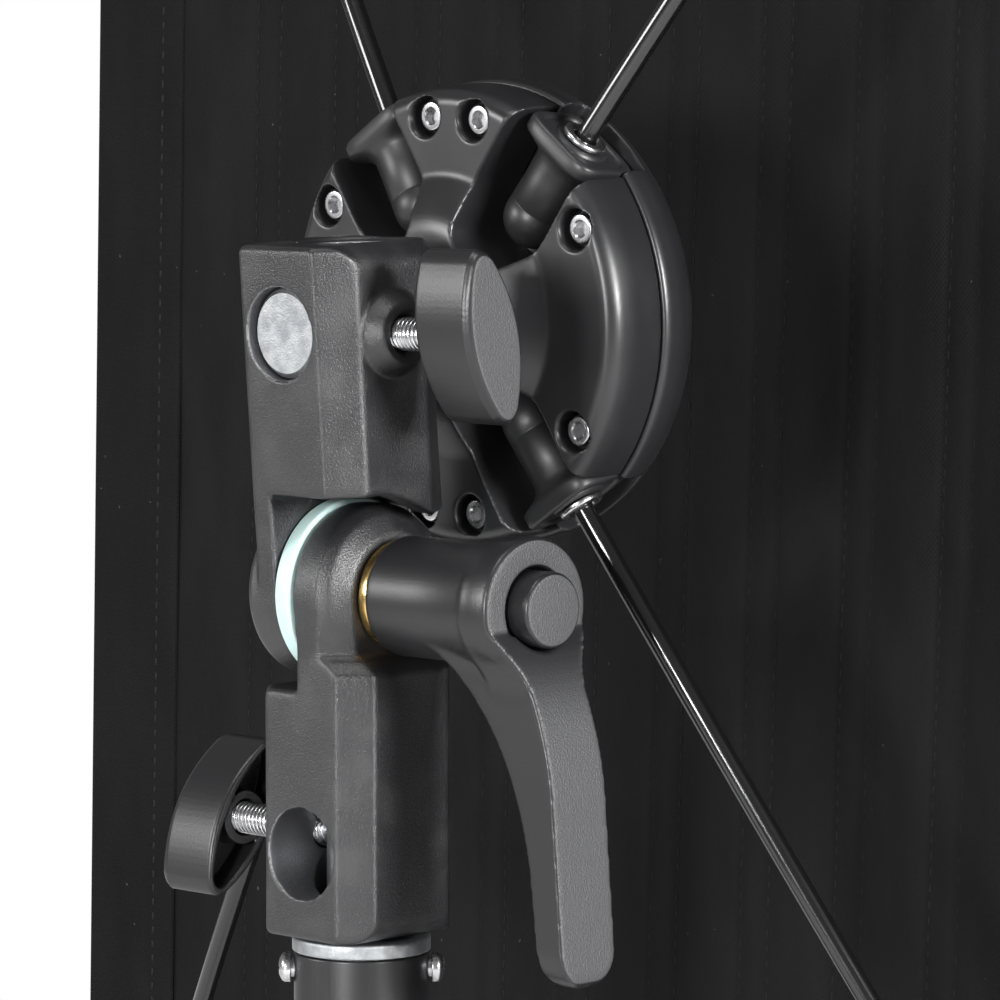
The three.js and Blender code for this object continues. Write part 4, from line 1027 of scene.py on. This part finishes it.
# %% Front cover
start = HUB_SEAM + GAP
front_cover = turned([
    (0, start), (42.1, start, 0.5), (42.5, start + 1.2, 0.6), (42.5, start + 4.5, 1.5), (41.2, start + 8, 2),
    (38.6, HUB_FRONT - 0.6, 1), (36.8, HUB_FRONT, 0.8), (0, HUB_FRONT),
], "Y", 256)
cuts = [bar(19.2, (0, HUB_SEAM - 1, 0), (0, start + 8, 0))]
for place in screw_places:
    cuts.append(bar(3.6, place + Y * HUB_SEAM, place + Y * (HUB_REAR + 16.5), segments=24))
for corner in CORNERS:
    cuts.append(flange_room(corner))
    cuts.append(bar(12.1, on_rod(corner, -26.8), on_rod(corner, 4)))
cuts.append(hollow_ring(HUB_SEAM - 1, HUB_FRONT - 2.8, 8.0))
front_cover = formed(front_cover, cut=cuts, voxel=FINE * 1.15, smooth=4)
settle(front_cover, "moulded", "hub_front_cover", "hub_plastic", hub)

# %% [markdown]
# The spigot that the hub turns on is zinc, and its sandy end shows in the upper body's bore.
# The hub screws are socket screws: a round head with a rounded rim and a hexagon hole.

# %% Spigot and hub screws
spigot_end = -UPPER_BACK - DRAFT * (UPPER_BORE - bottom) / (UPPER_END - bottom) + 1.4
flange_end = dome_top - GAP
groove = 5.5
spigot = turned([
    (0, spigot_end), (7.1, spigot_end), (8, spigot_end + 0.9),
    (8, UPPER_CLAMP.y - groove - 1.8), (6.2, UPPER_CLAMP.y - groove),
    (6.2, UPPER_CLAMP.y + groove), (8, UPPER_CLAMP.y + groove + 1.8), (8, flange_end - 5.8),
    (11.5, flange_end - 5.8, 1.0), (11.5, flange_end, 0.4), (7, flange_end), (7, HUB_SEAM - 0.5),
    (3.3, HUB_SEAM - 0.5), (3.3, HUB_SEAM - 16.7), (0, HUB_SEAM - 16.7),
], "Y", 160)
settle(spigot, "turned", "hub_spigot", "zinc", hub, sharp=35)

for index, place in enumerate(screw_places, 1):
    top = HUB_REAR + 4.2 - GAP - 2.2
    under, end = top + 2.2, top + 14.2
    profile = [(0, top), (2.75, top, 0.5), (2.75, under), (1.5, under), (1.5, end), (0, end)]
    screw = turned(profile, "Y", 48)
    socket = pushed(rounded(hexagon(2.7), 0.1), top - 1, top + 1.4, "Y")
    rim = bar(3.9, (0, top - 0.3, 0), (0, top + 0.35, 0), 2.7, segments=48)
    screw = formed(screw, cut=[socket, rim])
    where = hub @ Matrix.Translation(place)
    settle(screw, "turned", f"hub_screw_{index}", "steel", where, sharp=35)

# %% [markdown]
# Each rod plugs into a moulded socket that is round at its closed end and flares into a
# rounded-square flange. That change of section is easiest as a skin through rings: each ring
# is a superellipse, whose exponent goes from 2, a circle, to about 5, a rounded square.


# %% Rod sockets
def superellipse(half_a, half_b, power, count=96):
    ring = []
    for k in range(count):
        a = 2 * math.pi * k / count
        c, s = math.cos(a), math.sin(a)
        ring.append((
            math.copysign(abs(c) ** (2 / power), c) * half_a,
            math.copysign(abs(s) ** (2 / power), s) * half_b,
        ))
    return ring


def rod_socket():
    end, r = -18.3, 5.75
    angles = [math.pi / 2 * k / 12 for k in range(1, 13)]
    levels = [(end - r * math.cos(a), r * math.sin(a), r * math.sin(a), 2) for a in angles]
    levels += [
        (-16.4, 5.75, 5.75, 2), (-16.3, 5.66, 5.66, 2), (-16.1, 5.66, 5.66, 2), (-16.0, 5.75, 5.75, 2),
        (-10, 5.8, 5.8, 2), (-7, 5.9, 5.9, 2), (-6, 6.2, 6.1, 2.2), (-5.3, 6.8, 6.4, 2.6),
        (-4.8, 7.6, 6.8, 3.2), (-4.4, 8.3, 7.1, 3.8), (-4.0, 8.8, 7.4, 4.4), (-3.6, 9.0, 7.5, 4.8),
        (-1.6, 9.0, 7.5, 4.8),
        (-1.2, 8.8, 7.3, 4.8), (-1.0, 8.4, 6.9, 4.8), (-1.0, 7.7, 6.2, 4.6), (-1.15, 7.4, 5.9, 4.4),
        (-1.6, 7.2, 5.7, 4.2), (-1.65, 5.2, 5.2, 2), (-1.2, 4.9, 4.9, 2), (-1.0, 4.6, 4.6, 2),
        (-1.0, 2.5, 2.5, 2), (-1.3, 2.3, 2.3, 2), (-18.3, 2.3, 2.3, 2),
    ]
    rings = [[Vector((0, end - r, 0))]]
    for distance, a, b, power in levels:
        rings.append([Vector((u, distance, v)) for u, v in superellipse(a, b, power)])
    return skin(rings)


for corner in CORNERS:
    where = hub @ rod_frame(corner)
    settle(rod_socket(), "moulded", f"rod_socket_{corner}", "socket_plastic", where, sharp=50)
    ring = turned([
        (2.3, -0.7, 0.1), (4.25, -0.7, 0.1), (4.25, 0.1, 0.5), (3.2, 0.5, 0.5), (2.3, -0.1, 0.4),
    ], "Y", 72)
    settle(ring, "turned", f"socket_eyelet_{corner}", "steel", where, sharp=60)

# %% [markdown]
# The rods bow on their way to the panel's corners, which is what keeps the cloth tight. A rod
# leaves its socket straight and bends along one quadratic curve. The rings of its skin also
# write the `strand` value that the lacquer reads: around the rod, and slowly along it.

# %% Bowed rods
ROD_RADIUS = 2.0
lean_panel = Matrix.Rotation(-PANEL_LEAN, 4, "X")


def rod_end(corner):
    sx, sz = CORNERS[corner]
    return lean_panel @ Vector((sx * (HALF_WIDTH - TIP_INSET), TIP_DEPTH, sz * (HALF_HEIGHT - TIP_INSET)))


def rod_line(corner):
    a, b, c = on_rod(corner, 0), on_rod(corner, ROD_REACH), rod_end(corner)
    steps = [k / 90 for k in range(91)]
    bow = [a * (1 - t) ** 2 + b * 2 * t * (1 - t) + c * t * t for t in steps]
    return [on_rod(corner, d) for d in (-18.0, -12.0, -6.0)] + bow


def rod_mesh(corner, sides=24):
    line = rod_line(corner)
    rings, strands, travelled = [], [], 0.0
    across = rod_start(corner)["across"]
    for i, point in enumerate(line):
        direction = (line[min(i + 1, len(line) - 1)] - line[max(i - 1, 0)]).normalized()
        across = (across - direction * across.dot(direction)).normalized()
        other = direction.cross(across)
        travelled += (point - line[i - 1]).length if i else 0.0
        turns = [2 * math.pi * k / sides for k in range(sides)]
        rings.append([point + (across * math.cos(t) + other * math.sin(t)) * ROD_RADIUS for t in turns])
        strands += [(math.cos(t), math.sin(t), travelled * 0.01) for t in turns]
    made = skin(rings)
    values = made.data.attributes.new("strand", "FLOAT_VECTOR", "POINT")
    values.data.foreach_set("vector", [v for strand in strands for v in strand])
    return made


rod_lengths = []
for corner in CORNERS:
    line = rod_line(corner)
    rod_lengths.append(sum((b - a).length for a, b in zip(line, line[1:])))
    settle(rod_mesh(corner), "drawn", f"rod_{corner}", "rod_lacquer", hub, sharp=50)
print("rod length", round(rod_lengths[0], 1), "mm")

# %% [markdown]
# At the panel each rod wears a rounded cap, which sits in a pocket sewn on the corner. The
# pocket is stiff doubled webbing: a sleeve with a flat underside. It is softened like the
# castings, but with wider voxels, because folded cloth has no crisp edges.


# %% Rod tips and corner pockets
def tip_frame(corner):
    line = rod_line(corner)
    outward = (line[-1] - line[-2]).normalized()
    return line[-1], outward


HEM_BACK = 110.7
for corner in CORNERS:
    tip, outward = tip_frame(corner)
    turn = Y.rotation_difference(outward).to_matrix().to_4x4()
    where = hub @ Matrix.Translation(tip) @ turn
    cap = turned([
        (2.3, -9, 0.4), (3.5, -9, 0.6), (3.5, 1.6, 1.2), (1.6, 3.4, 0.8),
        (0.05, 3.4), (0.05, GAP), (2.3, GAP),
    ], "Y", 48)
    settle(cap, "moulded", f"rod_tip_{corner}", "socket_plastic", where, sharp=50)
    end = 3.4 + GAP
    sleeve = bar(13, tip + outward * (end + 2.4 - 30), tip + outward * (end + 2.4))
    room = bar(7.6, tip - outward * 35, tip + outward * end)
    under = block((-300, HEM_BACK - GAP, -400), (300, HEM_BACK + 100, 400))
    under.data.transform(lean_panel)
    pocket = formed(sleeve, cut=[room, under], voxel=0.6, smooth=5)
    settle(pocket, "sewn", f"corner_pocket_{corner}", "hem_fabric", hub)

# %% [markdown]
# The back of the panel is a thin cloth sewn to the layer under it in pairs of upright lines.
# Between the lines the cloth stands proud a little, and along them it puckers. The sheet is a
# fine grid whose depth is worked out point by point: channels, grooves at the seams, puckers
# that fade away from each seam, and slow waves over the whole panel.

# %% Back cloth
PAIR_PITCH, PAIR_HALF, PAIRS = 24.14, 3.5, 13
BACK_REAR, BACK_FRONT = 112.0, 113.4
seams = [PAIR_PITCH * (k - PAIRS // 2) + s * PAIR_HALF for k in range(PAIRS) for s in (-1, 1)]


def from_seam(x):
    return min(abs(x - seam) for seam in seams)


def back_depth(x, z):
    away = from_seam(x)
    groove = 0.45 * math.exp(-(away / 0.7) ** 2)
    nearest = min(seams, key=lambda s: abs(s - x))
    inside_pair = abs(abs(x - nearest) - 0) < PAIR_HALF and any(
        abs(x - PAIR_PITCH * (k - PAIRS // 2)) < PAIR_HALF for k in range(PAIRS))
    crown = (0.25 if inside_pair else 0.5) * (1 - math.exp(-(away / 3.0) ** 2))
    pucker = 0.22 * noise.noise(Vector((x / 5.0, z / 4.5, 3.0))) * math.exp(-(away / 4.0) ** 2)
    slow = noise.noise(Vector((x / 26.0, z / 90.0, 9.0)))
    quick = noise.noise(Vector((x / 9.0, z / 40.0, 5.0)))
    wave = 0.45 * slow + 0.2 * quick
    return BACK_REAR + groove - crown - pucker - wave + 0.35


def back_cloth():
    half_x, half_z = HALF_WIDTH - 1.3, HALF_HEIGHT - 1.3
    step_x, step_z = ((1.1, 3.0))
    count_x, count_z = int(2 * half_x / step_x), int(2 * half_z / step_z)
    points, faces = [], []
    for i in range(count_z + 1):
        z = -half_z + 2 * half_z * i / count_z
        for j in range(count_x + 1):
            x = -half_x + 2 * half_x * j / count_x
            edge = min(half_x - abs(x), half_z - abs(z))
            depth = back_depth(x, z)
            if edge < 25:
                depth = max(depth, BACK_REAR)
            points.append((x, depth, z))
    row = count_x + 1
    for i in range(count_z):
        for j in range(count_x):
            a = i * row + j
            faces.append((a, a + 1, a + row + 1, a + row))
    rim = list(range(row)) + [i * row + count_x for i in range(1, count_z + 1)]
    rim += [count_z * row + j for j in range(count_x - 1, -1, -1)]
    rim += [i * row for i in range(count_z - 1, 0, -1)]
    first = len(points)
    points += [(points[k][0], BACK_FRONT, points[k][2]) for k in rim]
    for k in range(len(rim)):
        j = (k + 1) % len(rim)
        faces.append((rim[k], rim[j], first + j, first + k))
    faces.append(range(first, first + len(rim)))
    return shaped(points, faces)


back = settle(back_cloth(), "sewn", "panel_back", "back_fabric", panel, sharp=50)

# %% [markdown]
# A stitch is a short length of thread that dips into the cloth at both ends. All stitches of
# the panel are one mesh: little four-sided spindles laid along each seam.

# %% Stitches
STITCH, STITCH_GAP = 2.3, 0.9


def add_stitch(points, faces, middle, along, out, length=STITCH, width=0.34):
    side = along.cross(out)
    base = len(points)
    for share, swell in ((-0.5, 0.0), (-0.3, 1.0), (0.3, 1.0), (0.5, 0.0)):
        centre = middle + along * (share * length) - out * (0.25 * (1 - swell))
        if swell == 0.0:
            points.append(centre)
        else:
            points += [
                centre + out * width * 0.6, centre + side * width,
                centre - out * width * 0.4, centre - side * width,
            ]
    for k in range(4):
        j = (k + 1) % 4
        faces.append((base, base + 1 + k, base + 1 + j))
        faces.append((base + 1 + k, base + 5 + k, base + 5 + j, base + 1 + j))
        faces.append((base + 9, base + 5 + j, base + 5 + k))


points, faces = [], []
pitch = STITCH + STITCH_GAP
for seam in seams:
    count = int(2 * (HALF_HEIGHT - 28) / pitch)
    for k in range(count):
        z = -HALF_HEIGHT + 28 + (k + 0.5) * pitch
        add_stitch(points, faces, Vector((seam, back_depth(seam, z) - 0.05, z)), Z, -Y)
for inset in (23.0,):
    for side in (-1, 1):
        for k in range(int(2 * (HALF_HEIGHT - inset) / pitch)):
            z = -HALF_HEIGHT + inset + (k + 0.5) * pitch
            for depth, out in ((HEM_BACK, -Y), (116.8, Y)):
                add_stitch(points, faces, Vector((side * (HALF_WIDTH - inset), depth, z)), Z, out)
        for k in range(int(2 * (HALF_WIDTH - inset) / pitch)):
            x = -HALF_WIDTH + inset + (k + 0.5) * pitch
            for depth, out in ((HEM_BACK, -Y), (116.8, Y)):
                add_stitch(points, faces, Vector((x, depth, side * (HALF_HEIGHT - inset))), X, out)
stitches = shaped(points, faces)
stitches.data.transform(Matrix.Scale(MM, 4) @ panel)
stitches.name = "stitches"
stitches.data.materials.append(finishes["thread"])
stitches.data.shade_smooth()
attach(stitches, "panel_head")
print("stitches:", len(points) // 10)

# %% [markdown]
# The edge of the panel is bound with a wide woven tape, folded over front and back. Its cross
# section is a long U. The U is carried round the panel's outline, and its depth wavers a little,
# because a tape that is sewn by hand never lies quite flat.

# %% Hem
PANEL_CORNER = 12.0
hem_section = rounded([
    (29.0, 111.0, 0.15), (27.6, HEM_BACK, 0.8), (1.8, HEM_BACK, 1.6), (0.0, 112.4, 1.4), (0.0, 115.1, 1.4),
    (1.8, 116.8, 1.6), (27.6, 116.8, 0.8), (29.0, 116.5, 0.15), (29.0, 115.85), (1.1, 115.8, 0.4),
    (1.1, 111.7, 0.4), (29.0, 111.65),
], steps=4)


def hem_ring(inset_depth):
    inset, depth = inset_depth
    corner = max(PANEL_CORNER - inset, 0.6)
    flat_x, flat_z = HALF_WIDTH - inset - corner, HALF_HEIGHT - inset - corner
    ring = []
    for quarter, (sx, sz) in enumerate(((1, 1), (-1, 1), (-1, -1), (1, -1))):
        centre = Vector((sx * flat_x, 0, sz * flat_z))
        for k in range(9):
            a = math.pi / 2 * (quarter + k / 8)
            ring.append(centre + Vector((math.cos(a), 0, math.sin(a))) * corner)
        turn = quarter % 2
        length = 2 * (flat_x if turn == 0 else flat_z)
        count = 80 if turn == 0 else 120
        heading = Vector(((-sx, 0, 0), (0, 0, -sz))[turn])
        last = ring[-1]
        ring += [last + heading * (length * k / count) for k in range(1, count)]
    placed = []
    for p in ring:
        waver = 0.10 * noise.noise(Vector((p.x / 14.0, p.z / 14.0, inset / 9.0)))
        placed.append(Vector((p.x, depth + (waver if inset > 2 else 0), p.z)))
    return placed


binding = skin([hem_ring(p) for p in hem_section], loop=True)
hem = settle(binding, "sewn", "panel_hem", "hem_fabric", panel, sharp=60)

# %% [markdown]
# The front is the light itself: a thin pale mat with rows of square chips. Each chip is a low
# white frame with a slightly domed yellow window, so that the front has depth in raking light.

# %% Light mat and chips
MAT_REAR, MAT_FRONT = 113.8, 115.5
half_x, half_z = HALF_WIDTH - 1.3, HALF_HEIGHT - 1.3
SQUARE = ((-1, -1), (1, -1), (1, 1), (-1, 1))
mat_outline = rounded([(u * half_x, v * half_z, 11) for u, v in SQUARE])
mat = pushed(mat_outline, MAT_REAR, MAT_FRONT, "Y")
mat = settle(mat, "moulded", "panel_led_mat", "led_mat", panel, sharp=40)


def chips(half, low, high, crown):
    points, faces = [], []
    columns, rows, pitch = 20, 32, 17.0
    for i in range(rows):
        for j in range(columns):
            x, z = pitch * (j - (columns - 1) / 2), pitch * (i - (rows - 1) / 2)
            base = len(points)
            for y, share in ((low, 1.0), (high, 1.0), (high + crown, 0.8)):
                reach = half * share
                points += [(x + u * reach, y, z + v * reach) for u, v in SQUARE]
            for ring in (base, base + 4):
                for k in range(4):
                    m = (k + 1) % 4
                    faces.append((ring + k, ring + m, ring + 4 + m, ring + 4 + k))
            faces += [range(base, base + 4), range(base + 8, base + 12)]
    return shaped(points, faces)


for name, slot, half, low, high, crown in (
    ("chip_frames", "led_mat", 1.9, MAT_FRONT - 0.1, MAT_FRONT + 0.55, 0.05),
    ("chip_windows", "phosphor", 1.4, MAT_FRONT + 0.3, MAT_FRONT + 0.65, 0.12),
):
    made = chips(half, low, high, crown)
    made.data.transform(Matrix.Scale(MM, 4) @ panel)
    made.name = name
    made.data.materials.append(finishes[slot])
    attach(made, "panel_head")

# %% [markdown]
# A few inner pieces stay as the fixed model has them: the lever's steel insert and spring, and
# the bolt inside the hub. They only need their finishes.

# %% Finishes of the pieces that stay
slot_of = {"lever_insert": "steel", "lever_spring": "steel", "hub_center_bolt": "steel"}
for node, slot in slot_of.items():
    nodes[node].data.materials.clear()
    nodes[node].data.materials.append(finishes[slot])
shown = [name for name, node in nodes.items() if not node.hide_render]
print("still shown as they are:", shown)

# %% [markdown]
# The stage is a pale round floor that fades into white, like a sweep of paper, so that no edge
# shows. The light is a dim even room, a small key from straight behind the panel, a sheen from its
# left, a box on the lever's side, and a weak one above. Small boxes draw lines on the edges.

# %% Floor
floor = turned([(0, -4), (1600, -4), (1600, -1), (0, -1)], "Z", 128)
floor.data.transform(Matrix.Scale(MM, 4))
floor.name = "floor"
surface, shader = finish("floor_paper", (0.86, 0.86, 0.86), 0.9)
flat_place = place_on(surface, (1, 1, 0))
centre_distance = surface.node("VectorMath", {"operation": "LENGTH"}, {0: flat_place}, output="Value")
fade = ramped(surface, centre_distance, 0.7, 1.1)
glow = surface.node("Emission", inputs={"Color": (1, 1, 1, 1), "Strength": 1.0})
sweep = surface.node("MixShader", inputs={0: fade, 1: surface, 2: glow})
ending = surface.tree.nodes["Material Output"]
surface.tree.links.new(sweep.socket, ending.inputs["Surface"])
floor.data.materials.append(finishes["floor_paper"])

# %% Light
world = bpy.data.worlds.new("studio")
scene.world = world
world.use_nodes = True
backdrop = world.node_tree.nodes["Background"]
room = Wire(world.node_tree, backdrop.outputs[0])
seen = room.node("LightPath", output="Is Camera Ray")
ROOM_LIGHT = 0.22
world.node_tree.links.new((seen * (1.0 - ROOM_LIGHT) + ROOM_LIGHT).socket, backdrop.inputs["Strength"])
backdrop.inputs["Color"].default_value = (1, 1, 1, 1)


def softbox(name, toward, distance, size, power):
    data = bpy.data.lights.new(name, "AREA")
    data.shape, data.size, data.energy = "DISK", size, power
    lamp = bpy.data.objects.new(name, data)
    direction = Vector(toward).normalized()
    lamp.location = Vector((0, 0, pivot.z * MM)) + direction * distance
    lamp.rotation_mode = "QUATERNION"
    lamp.rotation_quaternion = (-direction).to_track_quat("-Z", "Y")
    scene.collection.objects.link(lamp)


softbox("key", (0.28, -1.0, 0.15), 1.5, 0.3, 20)
softbox("sheen", (-0.75, -1.0, 0.30), 1.6, 0.5, 14)
softbox("lever_side", (1.0, 0.0, 0.22), 1.4, 0.35, 34)
softbox("top", (0.1, -0.4, 1.2), 1.5, 0.6, 8)
scene.view_settings.view_transform = "Standard"
